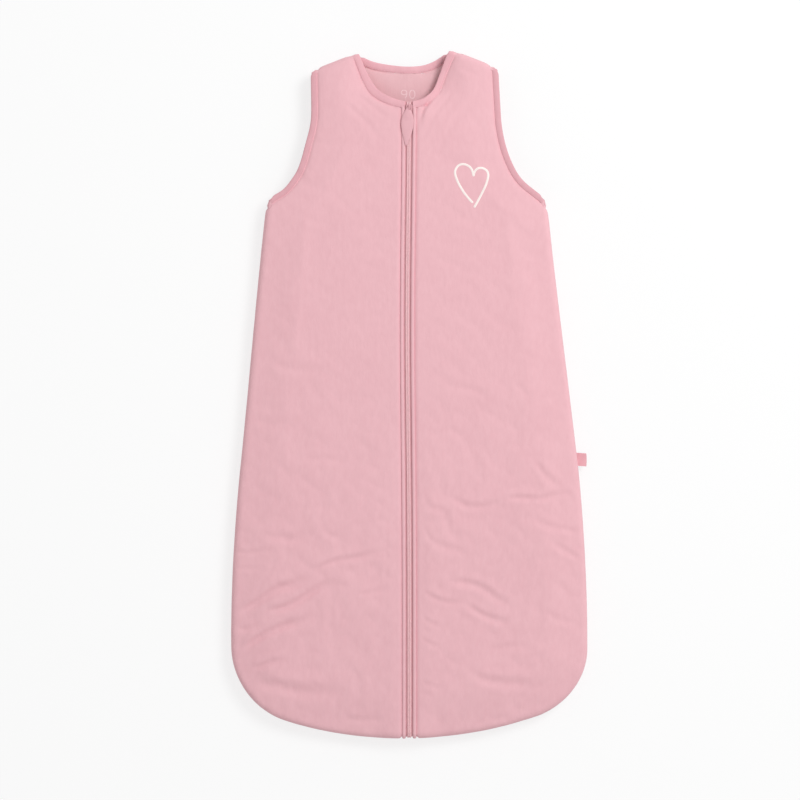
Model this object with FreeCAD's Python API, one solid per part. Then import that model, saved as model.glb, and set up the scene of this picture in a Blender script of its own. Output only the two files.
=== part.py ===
"""Baby sleeping bag, sleeveless, with a full-length front zip.

The bag lies on its back: +Z up out of the front, +Y towards the head, +X to the wearer's left.
The origin is the centre of the footprint on the surface that the bag lies on.
In the names, left and right are as seen from the front, so right is the +X side.
Back and front are each a shell, a wadding and a lining, and they close at the shoulders, sides and hem.
Neck, armholes and zip are open. Bound edges run round the neck and the armholes.
Each front half has a flap beside the zip that folds open about a slanting line from the neck to the hem.
"""
import FreeCAD, Part
import math
import os

V = FreeCAD.Vector

# Overall form, in millimetres
length = 900.0            # neck point to hem
half_width = 233.0        # at the feet, where the bag is widest
thickness = 34.0          # front and back together, lying flat with air inside
edge_round = 15.0         # rounding of the rim in section
rim_flat = 2.0            # least half height that stays upright at the rim

# Outline
hem_radius = 525.0        # gentle curve of the hem
hem_corner_radius = 100.0 # bottom corners
side_bend_run = 123.0     # half the stretch over which the side turns from straight up to inwards
armpit_half_width = 183.5
armpit_below_top = 198.0
shoulder_half_width = 122.5
shoulder_drop = 24.0      # shoulder tip below the neck point
armhole_straight = 61.0   # upper, nearly straight stretch of the armhole
armhole_lean = 2.5        # how far that stretch leans outwards
armpit_run_out = 30.0     # stretch of the armhole's arc beyond the side seam

# Neck
neck_half_width = 60.0
back_neck_depth = 21.0
front_neck_depth = 69.0
front_neck_radius = 40.0
neck_binding_width = 8.5
arm_binding_width = 7.0

# Layers of the back and of each front half
shell_thickness = 1.0
wadding_thickness = 6.0
lining_thickness = 1.0

# Folding flaps beside the zip
fold_beside_neck = 6.0         # the fold line starts this far outside the neck point
fold_below_shoulder = 6.0      # and this far under the inner face of the shoulder seam
fold_beside_lining = 1.2       # at its foot it clears the lining's turned-up edge by this
flap_foot_above_zip_end = 9.0
fold_gap = 0.5                 # between a flap and the side panel that it folds on
flap_top_past_binding = 7.5    # the flap's upper end runs on this far past the binding's width
flap_top_rise = 8.0

# Zip
zip_end_past_rim = 1.0         # the zip ends inside the rounded rim of the hem
turn_edge = 4.6                # half the visible gap between the two turned edges
turned_edge_width = 4.6
tape_tuck = 3.8                # tape under the shell, outside the topstitching
tape_thickness = 0.6
tape_depth = 3.0               # tape's underside below the shell's outer face
tooth_pitch = 5.5
tooth_height = 1.6
tooth_reach = 0.9              # how far a tooth crosses the centre line
tooth_root = 2.3               # outer side of the row of teeth
tooth_spine = 0.95             # width of the strip that carries the teeth
tooth_gap = 0.22               # between two meshed teeth, halfway along them
tooth_taper = 0.1              # a tooth's root is this much wider to each side, and its tip narrower
first_tooth = 0.75             # from the bottom stop to the first tooth's middle, in pitches
stop_length = 2.5
stop_width = 2.2
stop_gap = 0.4
top_stop_below_neck = 0.8
bottom_stop_past_zip_end = 3.0
bottom_stop_length = 3.5
bottom_stop_half_width = 2.8

# Slider, pull tab and leaf
slider_length = 13.0
slider_side_gap = 0.4          # between the slider and each turned edge
slider_tail_narrowing = 0.7
slider_corner = 1.0
slider_gap = 0.25              # between the slider and what runs through it
slider_plate = 0.85
channel_gap = 0.5              # between the slider's flange and the teeth
post_half_width = 0.8
post_gap = 0.4                 # between the post and each tape
post_length = 4.0
post_point = 1.2
slider_pivot_offset = 2.0      # pull tab's pivot above the slider's middle
bridge_half_length = 3.6
bridge_half_width = 1.1
bridge_leg = 1.4
bridge_rise = 2.6
bridge_wall = 0.8
pin_radius = 0.6
tab_thickness = 0.8
tab_half_width = 3.0
tab_bridge_gap = 0.45          # between the tab's arms and the bridge
tab_swing_gap = 0.6            # between the bridge and the far end of the tab's window
tab_length = 13.0
leaf_tab_gap = 0.6             # from the window's end to the leaf's upper end
leaf_length = 44.6
leaf_side_gap = 1.0            # between the leaf and the shell's edge, seen from above
leaf_top_half_width = 3.6
leaf_widest = 11.0             # from the leaf's upper end to its widest place
leaf_thickness = 1.6

# Trim
label_out = 12.0
label_height = 17.0
label_tape = 0.7
label_loop_gap = 0.9
label_fold_flat = 0.06         # half the flat left between the two rounds of the fold
label_above_hem = 358.0
heart_beside_fold = 15.0      # from the fold line's upper end to the heart's middle
heart_cusp_below_top = 162.5
heart_half_width = 21.5
heart_lobe_rise = 3.5
heart_depth = 42.5
heart_stroke = 3.0
heart_raised = 0.6

# Values that follow
top_y = length / 2
hem_y = -length / 2
layers = shell_thickness + wadding_thickness + lining_thickness
middle_z = thickness / 2
rim_round = min(edge_round, middle_z - rim_flat)
shell_inside = thickness - shell_thickness
armpit = V(armpit_half_width, top_y - armpit_below_top, 0)
neck_point = V(neck_half_width, top_y, 0)
shoulder_tip = V(shoulder_half_width, top_y - shoulder_drop, 0)
armhole_bend = V(shoulder_half_width + armhole_lean, shoulder_tip.y - armhole_straight, 0)
neck_low_y = top_y - front_neck_depth
zip_end_y = hem_y + rim_round + zip_end_past_rim
flap_foot_y = zip_end_y + flap_foot_above_zip_end
shell_edge = turn_edge + turned_edge_width
tape_edge = shell_edge + tape_tuck
tape_inner_edge = post_half_width + post_gap
wadding_edge = tape_edge + lining_thickness
fold_top = V(neck_half_width + fold_beside_neck, top_y - layers - fold_below_shoulder, 0)
fold_foot = V(wadding_edge + fold_beside_lining, flap_foot_y, 0)
tape_z = thickness - tape_depth
teeth_z = tape_z + tape_thickness
teeth_top = teeth_z + tooth_height
bottom_stop_y = zip_end_y + bottom_stop_past_zip_end
top_stop_y = neck_low_y - top_stop_below_neck - stop_length
slider_half_width = turn_edge - slider_side_gap
slider_y = top_stop_y - stop_gap - slider_length / 2
slider_top = slider_y + slider_length / 2
post_foot = slider_top - post_length
pivot_y = slider_y + slider_pivot_offset
plate_z = teeth_top + slider_gap
plate_top = plate_z + slider_plate
pivot_z = plate_top + 2 * slider_gap + pin_radius
tab_window = bridge_half_length + tab_swing_gap
leaf_start = pivot_y - tab_window - leaf_tab_gap
leaf_half_width = shell_edge - leaf_side_gap
far = 2 * length


def arc_leaving(start, direction, end):
    """Arc that leaves start along direction and ends at end."""
    chord = end - start
    aim = V(direction).normalize()
    cross = aim.cross(chord)
    turn = math.atan2(cross.z, aim.dot(chord))
    sag = chord.Length / 2 * math.tan(turn / 2)
    side = V(chord.y, -chord.x, 0).normalize()
    return Part.Arc(start, (start + end) * 0.5 + side * sag, end).toShape()


def line(start, end):
    return Part.LineSegment(start, end).toShape()


def flat(edges):
    """Face inside a closed run of edges."""
    return Part.Face(Part.Wire(Part.__sortEdges__(edges)))


def polygon(points):
    return Part.Face(Part.makePolygon(points + [points[0]]))


def prism(face, low, high):
    """Solid over a flat face, from height low to height high."""
    solid = face.extrude(V(0, 0, high - low))
    solid.translate(V(0, 0, low))
    return solid


def block(x0, x1, y0, y1, z0, z1):
    return Part.makeBox(x1 - x0, y1 - y0, z1 - z0, V(x0, y0, z0))


def mirrored(shape):
    """The same shape on the other side of the zip."""
    return shape.mirror(V(0, 0, 0), V(1, 0, 0))


def both_sides_of(middle, edges):
    return edges + [edge.mirror(V(middle, 0, 0), V(1, 0, 0)) for edge in edges]


def both_sides(edges):
    return both_sides_of(0, edges)


def grown(face, distance):
    """Face with its border moved outwards by distance, or inwards where it is negative."""
    return face.makeOffset2D(distance, join=2)


def outline():
    """Plan of the closed bag, with the armholes and the neck still filled in."""
    turn = math.asin((half_width - hem_corner_radius) / (hem_radius - hem_corner_radius))
    hem_low = V(0, hem_y, 0)
    hem_end = V(hem_radius * math.sin(turn), hem_y + hem_radius * (1 - math.cos(turn)), 0)
    corner_end = V(half_width, hem_end.y + hem_corner_radius * math.cos(turn), 0)
    bend = corner_end + V(0, side_bend_run, 0)
    inwards = (armpit - bend).normalize()
    bend_end = bend + inwards * side_bend_run
    along_shoulder = shoulder_tip - neck_point
    slope = along_shoulder.y / along_shoulder.x
    peak = V(0, neck_point.y - slope * neck_point.x, 0)
    rise = (peak.y + slope * armpit.x - armpit.y) / (inwards.y - slope * inwards.x)
    upper_corner = armpit + inwards * rise
    return flat(both_sides([
        arc_leaving(hem_low, V(1, 0, 0), hem_end),
        arc_leaving(hem_end, V(math.cos(turn), math.sin(turn), 0), corner_end),
        arc_leaving(corner_end, V(0, 1, 0), bend_end),
        line(bend_end, upper_corner),
        line(upper_corner, peak),
    ]))


def envelope(inset):
    """Closed form of the bag at a depth of inset below its outer face."""
    face = grown(outline(), -inset) if inset else outline()
    solid = prism(face, inset, thickness - inset)
    rim = [edge for edge in solid.Edges if edge.BoundBox.ZLength < 0.001]
    return solid.makeFillet(rim_round - inset, rim)


def armhole():
    """Open region beside the bag. Its arc passes through the armpit and runs out past the side."""
    down = (armhole_bend - shoulder_tip).normalize()
    out = V(-down.y, down.x, 0)
    chord = armpit - armhole_bend
    radius = chord.Length ** 2 / (2 * chord.dot(out))
    centre = armhole_bend + out * radius
    turn = 2 * math.atan2(chord.dot(out), chord.dot(down)) + armpit_run_out / radius

    def on_arc(angle):
        return centre + (down * math.sin(angle) - out * math.cos(angle)) * radius

    low = on_arc(turn)
    above = V(shoulder_tip.x, far, 0)
    return flat([
        line(above, shoulder_tip),
        line(shoulder_tip, armhole_bend),
        Part.Arc(armhole_bend, on_arc(turn / 2), low).toShape(),
        line(low, V(far, low.y, 0)),
        line(V(far, low.y, 0), V(far, far, 0)),
        line(V(far, far, 0), above),
    ])


def front_neck():
    """Open region over the front neckline: two straight sides and a round bottom."""
    low = V(0, neck_low_y, 0)
    centre = low + V(0, front_neck_radius, 0)
    reach = neck_point - centre
    swing = math.atan2(reach.y, reach.x) - math.acos(front_neck_radius / reach.Length)
    touch = centre + V(math.cos(swing), math.sin(swing), 0) * front_neck_radius
    above = V(neck_point.x, far, 0)
    return flat(both_sides([
        arc_leaving(low, V(1, 0, 0), touch),
        line(touch, neck_point),
        line(neck_point, above),
        line(above, V(0, far, 0)),
    ]))


def back_neck():
    """Open region over the back neckline."""
    low = V(0, top_y - back_neck_depth, 0)
    above = V(neck_point.x, far, 0)
    return flat(both_sides([
        arc_leaving(low, V(1, 0, 0), neck_point),
        line(neck_point, above),
        line(above, V(0, far, 0)),
    ]))


def flap_plan(gap):
    """Plan of the +X flap, larger by gap on the sides where it meets the fixed panel."""
    corner = fold_top + V(-neck_binding_width - flap_top_past_binding, flap_top_rise, 0)
    face = polygon([
        V(shell_edge, flap_foot_y, 0),
        fold_foot,
        fold_top,
        corner,
        V(0, corner.y, 0),
        V(0, flap_foot_y, 0),
    ])
    return grown(face, gap) if gap else face


def in_front(face):
    return prism(face, middle_z, far)


def in_back(face):
    return prism(face, -far, middle_z)


def zip_slot(half):
    """Room for the zip in a front layer."""
    return block(-half, half, zip_end_y, far, middle_z, far)


class Regions:
    """Cutters that every layer shares."""

    def __init__(self):
        arm = armhole()
        front = front_neck()
        back = back_neck()
        arm_open = prism(arm, -far, far)
        arm_reach = prism(grown(arm, arm_binding_width), -far, far)
        self.arm_bands = arm_reach.fuse(mirrored(arm_reach))
        self.arm_band = arm_reach.cut(arm_open)
        self.neck = in_front(front).fuse(in_back(back))
        self.front_band = in_front(grown(front, neck_binding_width))
        self.back_band = in_back(grown(back, neck_binding_width))
        self.front_half = block(0, far, -far, far, middle_z, far)
        self.flap = in_front(flap_plan(0))
        self.flap_room = in_front(flap_plan(fold_gap))


def back_layer(layer, cut):
    """Back half of a layer, ended at the bindings."""
    half = layer.common(block(-far, far, -far, far, -far, middle_z))
    return half.cut(cut.arm_bands).cut(cut.back_band)


def front_layer(layer, cut, slot):
    """+X front half of a layer, ended at the bindings and at the zip."""
    half = layer.common(cut.front_half)
    return half.cut(cut.arm_bands).cut(cut.front_band).cut(slot)


def lining_edge(cut):
    """Turned-up edge of the lining under the zip tape, on the +X side."""
    wall = block(tape_edge, wadding_edge, zip_end_y, neck_low_y, thickness - layers, shell_inside)
    strip = block(shell_edge, tape_edge, zip_end_y, neck_low_y, tape_z - lining_thickness, tape_z)
    return wall.fuse(strip).cut(cut.front_band)


def split_front(name, whole, cut, nodes):
    """A front layer as the fixed panel and the flap, on both sides of the zip."""
    panel = whole.cut(cut.flap_room)
    flap = whole.common(cut.flap)
    nodes["front_right_" + name] = panel
    nodes["right_flap_" + name] = flap
    nodes["front_left_" + name] = mirrored(panel)
    nodes["left_flap_" + name] = mirrored(flap)


def layers_of_cloth(cut, nodes):
    """Shell, wadding and lining of the back and of both front halves."""
    forms = [envelope(0)]
    for depth in (shell_thickness, shell_thickness + wadding_thickness, layers):
        forms.append(envelope(depth))
    shell = forms[0].cut(forms[1])
    wadding = forms[1].cut(forms[2])
    lining = forms[2].cut(forms[3])
    nodes["back_shell"] = back_layer(shell, cut)
    nodes["back_wadding"] = back_layer(wadding, cut)
    nodes["back_lining"] = back_layer(lining, cut)
    front_shell = front_layer(shell, cut, zip_slot(shell_edge))
    front_wadding = front_layer(wadding, cut, zip_slot(wadding_edge))
    front_lining = front_layer(lining, cut, zip_slot(wadding_edge)).fuse(lining_edge(cut))
    split_front("shell", front_shell, cut, nodes)
    split_front("wadding", front_wadding, cut, nodes)
    split_front("lining", front_lining.removeSplitter(), cut, nodes)
    return forms[0], forms[0].cut(forms[3])


def bindings(wall, cut, nodes):
    """Folded bands over the cut edges of the neck and the armholes, as thick as all layers."""
    arm = wall.common(cut.arm_band)
    nodes["right_armhole_binding"] = arm
    nodes["left_armhole_binding"] = mirrored(arm)
    outside_arms = wall.cut(cut.arm_bands)
    tape_room = block(-tape_edge, tape_edge, zip_end_y, far, tape_z, shell_inside)
    front = outside_arms.common(cut.front_band).cut(cut.neck).cut(zip_slot(shell_edge)).cut(tape_room)
    back = outside_arms.common(cut.back_band).cut(cut.neck)
    rooms = cut.flap_room.fuse(mirrored(cut.flap_room))
    nodes["back_neck_binding"] = back.fuse(front.cut(rooms)).removeSplitter()
    flap_band = front.common(cut.flap)
    nodes["right_neck_binding"] = flap_band
    nodes["left_neck_binding"] = mirrored(flap_band)


def zip_halves(nodes):
    """Tape and turned shell edge of each side, which follow the flaps."""
    tape = block(tape_inner_edge, tape_edge, zip_end_y, neck_low_y, tape_z, teeth_z)
    ridge = block(turn_edge, shell_edge, zip_end_y, neck_low_y, teeth_z, thickness)
    tuck = block(turn_edge, tape_edge, zip_end_y, neck_low_y, teeth_z, shell_inside)
    edge = ridge.fuse(tuck).removeSplitter()
    nodes["right_zip_tape"] = tape
    nodes["left_zip_tape"] = mirrored(tape)
    nodes["right_turned_edge"] = edge
    nodes["left_turned_edge"] = mirrored(edge)


def tooth_row(shift):
    """Teeth of the +X side on the strip that carries them, shifted along the zip."""
    low = bottom_stop_y + bottom_stop_length
    high = post_foot - slider_gap
    spine = tooth_root - tooth_spine
    middle_half = (tooth_pitch / 2 - tooth_gap) / 2
    root = middle_half + tooth_taper
    tip = middle_half - tooth_taper
    count = int((high - low) / tooth_pitch) - 1
    points = [V(tooth_root, low, 0), V(tooth_root, high, 0), V(spine, high, 0)]
    for index in reversed(range(count)):
        middle = low + (index + first_tooth) * tooth_pitch + shift
        points.append(V(spine, middle + root, 0))
        points.append(V(-tooth_reach, middle + tip, 0))
        points.append(V(-tooth_reach, middle - tip, 0))
        points.append(V(spine, middle - root, 0))
    points.append(V(spine, low, 0))
    return prism(polygon(points), teeth_z, teeth_top)


def teeth(nodes):
    """Two meshed rows of teeth, half a pitch apart."""
    nodes["right_zip_teeth"] = tooth_row(0)
    nodes["left_zip_teeth"] = mirrored(tooth_row(tooth_pitch / 2))


def stops(nodes):
    """Clips that end the slider's travel: one on each tape at the neck, one across both at the hem."""
    stop = block(stop_gap, stop_gap + stop_width, top_stop_y, top_stop_y + stop_length, teeth_z, teeth_top)
    nodes["right_top_stop"] = stop
    nodes["left_top_stop"] = mirrored(stop)
    nodes["bottom_stop"] = block(-bottom_stop_half_width, bottom_stop_half_width,
                                 bottom_stop_y, bottom_stop_y + bottom_stop_length, teeth_z, teeth_top)


def slider_plan():
    """Shield-shaped plan of the slider's plates: wide at the neck end, narrow at the tail."""
    side = [
        V(slider_half_width - slider_corner, slider_top, 0),
        V(slider_half_width, slider_top - slider_corner, 0),
        V(slider_half_width, slider_y, 0),
        V(slider_half_width - slider_tail_narrowing, slider_top - slider_length, 0),
    ]
    return polygon(side + [V(-point.x, point.y, 0) for point in reversed(side)])


def slider_post():
    """Plan of the wedge between the plates that parts the teeth."""
    side = [V(post_half_width, post_foot + post_point, 0), V(post_half_width, slider_top - slider_gap, 0)]
    return polygon([V(0, post_foot, 0)] + side + [V(-point.x, point.y, 0) for point in reversed(side)])


def bridge():
    """Arch on the slider that holds the pull tab's pin."""
    top = plate_top + bridge_rise
    outer = block(-bridge_half_width, bridge_half_width, pivot_y - bridge_half_length,
                  pivot_y + bridge_half_length, plate_z + slider_plate / 2, top)
    shoulders = [edge for edge in outer.Edges
                 if edge.BoundBox.ZMin > top - 0.001 and edge.BoundBox.YLength < 0.001]
    outer = outer.makeFillet(bridge_leg, shoulders)
    inner_half = bridge_half_length - bridge_leg
    inner = block(-far, far, pivot_y - inner_half, pivot_y + inner_half, plate_top, top - bridge_wall)
    return outer.cut(inner)


def slider(nodes):
    """Two plates, side flanges and a post in one casting, with the bridge on top."""
    plan = slider_plan()
    low_plate_top = tape_z - slider_gap
    flange_z = teeth_z + slider_gap
    channel = tooth_root + channel_gap
    upper = prism(plan, plate_z, plate_top)
    lower = prism(plan, low_plate_top - slider_plate, low_plate_top)
    post = prism(slider_post(), low_plate_top, plate_z)
    rim = prism(plan, flange_z, plate_z).cut(block(-channel, channel, -far, far, flange_z, plate_z))
    nodes["zip_slider"] = upper.fuse([lower, post, rim, bridge()]).removeSplitter()


def pull_tab():
    """Flat tab with a window round the bridge, closed by the pin that it swings on."""
    half = tab_thickness / 2
    window_half = bridge_half_width + tab_bridge_gap
    plate = block(-tab_half_width, tab_half_width, pivot_y - tab_length, pivot_y,
                  pivot_z - half, pivot_z + half)
    window = block(-window_half, window_half, pivot_y - tab_window, far, -far, far)
    pin = Part.makeCylinder(pin_radius, 2 * tab_half_width, V(-tab_half_width, pivot_y, pivot_z), V(1, 0, 0))
    return plate.cut(window).fuse(pin).removeSplitter()


def leaf_plan():
    """Leaf with a narrow upper end and a pointed tip."""
    tip = V(0, leaf_start - leaf_length, 0)
    shoulder = V(leaf_top_half_width, leaf_start, 0)
    widest = V(leaf_half_width, leaf_start - leaf_widest, 0)
    return flat(both_sides([
        line(V(0, leaf_start, 0), shoulder),
        arc_leaving(widest, V(0, 1, 0), shoulder),
        arc_leaving(widest, V(0, -1, 0), tip),
    ]))


def puller(nodes):
    """Pull tab and the sewn cloth leaf that holds its lower end."""
    tab = pull_tab()
    half = leaf_thickness / 2
    leaf = prism(leaf_plan(), pivot_z - half, pivot_z + half)
    nodes["pull_tab"] = tab
    nodes["pull_leaf"] = leaf.cut(tab)


def seam_half_width(level):
    """Half width of the closed bag at a level along its length."""
    across = line(V(0, level, 0), V(far, level, 0))
    return across.common(outline()).BoundBox.XMax


def side_label(outer, nodes):
    """Folded loop of tape sewn into the side seam."""
    low = hem_y + label_above_hem
    high = low + label_height
    half = label_tape + label_loop_gap / 2
    seam_x = seam_half_width((low + high) / 2)
    end = seam_x + label_out
    loop = block(seam_x - layers, end, low, high, middle_z - half, middle_z + half)
    bend = [edge for edge in loop.Edges
            if edge.BoundBox.XMin > end - 0.001 and edge.BoundBox.ZLength < 0.001]
    loop = loop.makeFillet(half - label_fold_flat, bend)
    hollow = block(seam_x - layers, end - half, -far, far,
                   middle_z - label_loop_gap / 2, middle_z + label_loop_gap / 2)
    nodes["side_label"] = loop.cut(hollow).cut(outer)


def stroke(edge, width):
    """Band of the given width along an arc."""
    centre = edge.Curve.Center
    radius = edge.Curve.Radius
    middle = edge.valueAt((edge.FirstParameter + edge.LastParameter) / 2)
    points = [edge.Vertexes[0].Point, middle, edge.Vertexes[-1].Point]
    inner, outer = [
        [centre + (point - centre) * ((radius + side * width / 2) / radius) for point in points]
        for side in (-1, 1)
    ]
    return flat([
        Part.Arc(*inner).toShape(),
        line(inner[2], outer[2]),
        Part.Arc(*outer).toShape(),
        line(outer[0], inner[0]),
    ])


def heart(nodes):
    """Heart drawn in one raised embroidered line on the chest."""
    cusp = V(fold_top.x + heart_beside_fold, top_y - heart_cusp_below_top, 0)
    tip = cusp + V(0, -heart_depth, 0)
    side = cusp + V(heart_half_width, heart_lobe_rise, 0)
    arcs = both_sides_of(cusp.x, [
        arc_leaving(side, V(0, 1, 0), cusp),
        arc_leaving(side, V(0, -1, 0), tip),
    ])
    bands = [prism(stroke(arc, heart_stroke), thickness, thickness + heart_raised) for arc in arcs]
    ends = [Part.makeCylinder(heart_stroke / 2, heart_raised, point + V(0, 0, thickness))
            for point in (cusp, tip)]
    nodes["heart_embroidery"] = bands[0].fuse(bands[1:] + ends).removeSplitter()


def main():
    os.makedirs("parts", exist_ok=True)
    cut = Regions()
    nodes = {}
    outer, wall = layers_of_cloth(cut, nodes)
    bindings(wall, cut, nodes)
    zip_halves(nodes)
    teeth(nodes)
    stops(nodes)
    slider(nodes)
    puller(nodes)
    side_label(outer, nodes)
    heart(nodes)
    for name, shape in nodes.items():
        shape.exportStep(f"parts/{name}.step")
        print(f"{name}: {len(shape.Solids)} solid, {shape.Volume / 1000:.2f} cm3, valid {shape.isValid()}")


if __name__ == "__main__":
    main()
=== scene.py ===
"""A baby's sleeveless sleeping bag lying on its back: padded cotton jersey, bound edges, full-length zip.

Lengths are in millimetres until a mesh is made. Every soft piece is placed by a point of the bag's flat
plan and a depth below the outer face, so that shell, wadding, lining, bindings and zip stay together.
"""
import math
import bmesh
import bpy
import numpy as np
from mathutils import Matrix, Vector, geometry


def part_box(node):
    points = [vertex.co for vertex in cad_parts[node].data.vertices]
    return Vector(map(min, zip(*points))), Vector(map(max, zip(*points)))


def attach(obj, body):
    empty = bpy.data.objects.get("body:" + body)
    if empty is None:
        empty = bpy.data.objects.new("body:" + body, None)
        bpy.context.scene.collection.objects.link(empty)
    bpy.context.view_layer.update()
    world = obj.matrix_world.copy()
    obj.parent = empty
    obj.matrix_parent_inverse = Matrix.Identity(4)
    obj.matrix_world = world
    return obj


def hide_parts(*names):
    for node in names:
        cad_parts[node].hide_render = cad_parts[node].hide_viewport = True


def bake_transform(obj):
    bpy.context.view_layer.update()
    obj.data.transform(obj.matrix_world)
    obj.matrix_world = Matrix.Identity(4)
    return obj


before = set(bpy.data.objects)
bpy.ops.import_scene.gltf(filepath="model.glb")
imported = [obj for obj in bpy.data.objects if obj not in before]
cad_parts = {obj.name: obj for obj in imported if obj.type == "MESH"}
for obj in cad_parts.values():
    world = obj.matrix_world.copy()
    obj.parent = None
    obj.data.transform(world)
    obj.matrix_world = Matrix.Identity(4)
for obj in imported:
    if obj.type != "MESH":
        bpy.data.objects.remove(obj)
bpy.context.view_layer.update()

MM = 0.001


# ---------------------------------------------------------------- sizes

def cad(node):
    """Lowest and highest corner of a node of the frame, in millimetres."""
    low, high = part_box(node)
    return np.array(low) / MM, np.array(high) / MM


half_width = cad("back_shell")[1][0]
hem_y = cad("back_shell")[0][1]
top_y = cad("back_neck_binding")[1][1]
thickness = cad("front_right_shell")[1][2]
seam_z = thickness / 2

# Outline, as the frame's own
hem_radius = 525.0
hem_corner_radius = 100.0
side_bend_run = 123.0
armpit = np.array([183.5, top_y - 198.0])
neck_point = np.array([60.0, top_y])
shoulder_tip = np.array([121.0, top_y - 23.4])
armhole_upper = np.array([122.2, top_y - 86.0])
armhole_lower = np.array([140.0, top_y - 156.0])
armhole_run_out = np.array([158.0, top_y - 178.0])
neck_low_y = cad("right_zip_tape")[1][1]
neck_radius = 40.0
back_neck_depth = 21.0
neck_band_width = 8.5
arm_band_width = 7.0

# Layers, as depths below the outer face
shell_depth = 1.0
wadding_top = 2.1
wadding_bottom = 6.25
back_wadding_bottom = 5.95
lining_top = 7.0
lining_bottom = 8.0
rim_run = 9.0                # the outer face rounds over to the seam within this
rim_power = 2.4              # 2 is an even round, more is squarer
seam_gap = 0.15              # between each half and the seam's plane
seam_tuck = 2.2              # how far the seam lies in from the bulge of the rim
seam_wander = 0.5            # and how far it strays from that
rim_z = 12.5                 # height of the side seam over the surface that the bag lies on
slump = 0.2                  # share of the front's rise over the seam that is lost at the rim
slump_run = 60.0             # and regained within this
pinch_share = 0.3            # the padding under a binding loses this share of its height
groove_share = 0.3           # and this much more beside the binding
neck_sink = 7.5              # the neck edge lies this much lower between the zip and the shoulders
armhole_sink = 2.6           # and the armhole's edge
band_gather = 0.35           # height of the small gathers beside a binding
net_cell = 3.6               # of the simulated net
zip_drift = 2.6              # how far the zip wanders to the left at chest height
binding_skin = 0.9           # from a bound edge to the cloth inside its binding
stitch_in = 1.3              # stitching, from the inner edge of a binding
stitch_depth = -0.12         # and where it lies, proud of the outer face
settle_left = 3.3            # how far the upper part lies to the left
under_neck = 7.5             # the back stands this much off the surface under the open neck
fold_width = 26.0            # an opened front half rolls over this width
roll_margin = 12.0           # its wadding is pressed to this far beside that
wadding_inset = 14.5         # from the middle of the zip to the front's wadding
leaf_over_tab = 5.5          # the leaf reaches this much further up than the frame's, to cover the tab

# Zip
shell_edge = 9.2             # the topstitching, where the shell meets its turned edge
stitch_dip = 1.8             # it draws the shell down by this
stitch_dip_run = 2.0         # over this
tape_inner = 0.7             # the tape, from the middle of the zip
tape_outer = 13.0
tape_depth = thickness - cad("right_zip_tape")[1][2]
tape_thickness = 0.6
band_start = 4.8             # the neckline's binding reaches over the turned edge to here
foot_gap = -0.02             # the zip runs down over the rim to just past the hem seam

# Spacing of the meshes' points
front_spacing = {"shell": 3.4, "wadding": 4.5, "lining": 4.5}
back_spacing = {"shell": 6.0, "wadding": 9.0, "lining": 7.0}
roll_spacing = 2.6
seam_spacing = 4.0
edge_spacing = 3.5           # beside the zip
edge_rows = np.array([1.5, 3.6, 5.4, 6.7, 7.7, 8.7, 9.9, 11.4])   # distances from an edge

# Light and view
fill_light = 0.57
paper_white = 0.75           # share of the floor that is plain white to the camera
floor_half = 4.0             # metres
key_place = (1.38, 1.15, 2.5)  # metres
key_size = 1.1
view_centre = (-12.0, -5.9)
view_width = 1043.0          # at the height of the side seam


# ---------------------------------------------------------------- plane geometry

def unit(v):
    v = np.asarray(v, float)
    return v / np.maximum(np.linalg.norm(v, axis=-1, keepdims=True), 1e-12)


def left_of(v):
    """The direction a quarter turn to the left."""
    v = np.asarray(v, float)
    return np.stack([-v[..., 1], v[..., 0]], axis=-1)


def smooth(t):
    t = np.clip(t, 0, 1)
    return t * t * (3 - 2 * t)


def straight(start, end, step):
    """Points from start to end, both included."""
    start, end = np.asarray(start, float), np.asarray(end, float)
    count = max(1, math.ceil(np.linalg.norm(end - start) / step))
    return start + (end - start) * np.linspace(0, 1, count + 1)[:, None]


def arc(start, direction, end, step):
    """Points along the arc that leaves start along direction and ends at end."""
    start, end, aim = np.asarray(start, float), np.asarray(end, float), unit(direction)
    chord = end - start
    turn = 2 * math.atan2(aim[0] * chord[1] - aim[1] * chord[0], float(aim @ chord))
    radius = np.linalg.norm(chord) / (2 * math.sin(turn / 2))
    centre = start + left_of(aim) * radius
    count = max(2, math.ceil(abs(radius * turn) / step))
    angles = np.linspace(0, turn, count + 1)[:, None]
    spoke = start - centre
    return centre + np.cos(angles) * spoke + np.sin(angles) * left_of(spoke)


def joined(*runs):
    """Runs of points end to end, without the doubled points."""
    points = [runs[0]]
    for run in runs[1:]:
        points.append(run[1:])
    return np.concatenate(points)


def mirrored(points):
    """The same points on the other side of the zip, in the same order."""
    out = np.array(points, float)
    out[..., 0] *= -1
    return out


def along(points):
    """Distance of each point from the first, along the line."""
    steps = np.linalg.norm(np.diff(points, axis=0), axis=1)
    return np.concatenate([[0], np.cumsum(steps)])


def respaced(points, step):
    """The line again with points step apart."""
    far = along(points)
    at = np.linspace(0, far[-1], max(2, math.ceil(far[-1] / step) + 1))
    return np.stack([np.interp(at, far, points[:, k]) for k in range(points.shape[1])], axis=1)


def smooth_line(points, step):
    """Smooth line through a few points."""
    points = np.asarray(points, float)
    ends = np.concatenate([[2 * points[0] - points[1]], points, [2 * points[-1] - points[-2]]])
    pieces = []
    for a, b, c, d in zip(ends, ends[1:], ends[2:], ends[3:]):
        t = np.linspace(0, 1, 12, endpoint=False)[:, None]
        curve = b + 0.5 * t * (c - a) + t ** 2 * (a - 2.5 * b + 2 * c - 0.5 * d)
        pieces.append(curve + t ** 3 * (1.5 * b - 0.5 * a - 1.5 * c + 0.5 * d))
    return respaced(np.concatenate(pieces + [points[-1:]]), step)


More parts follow.
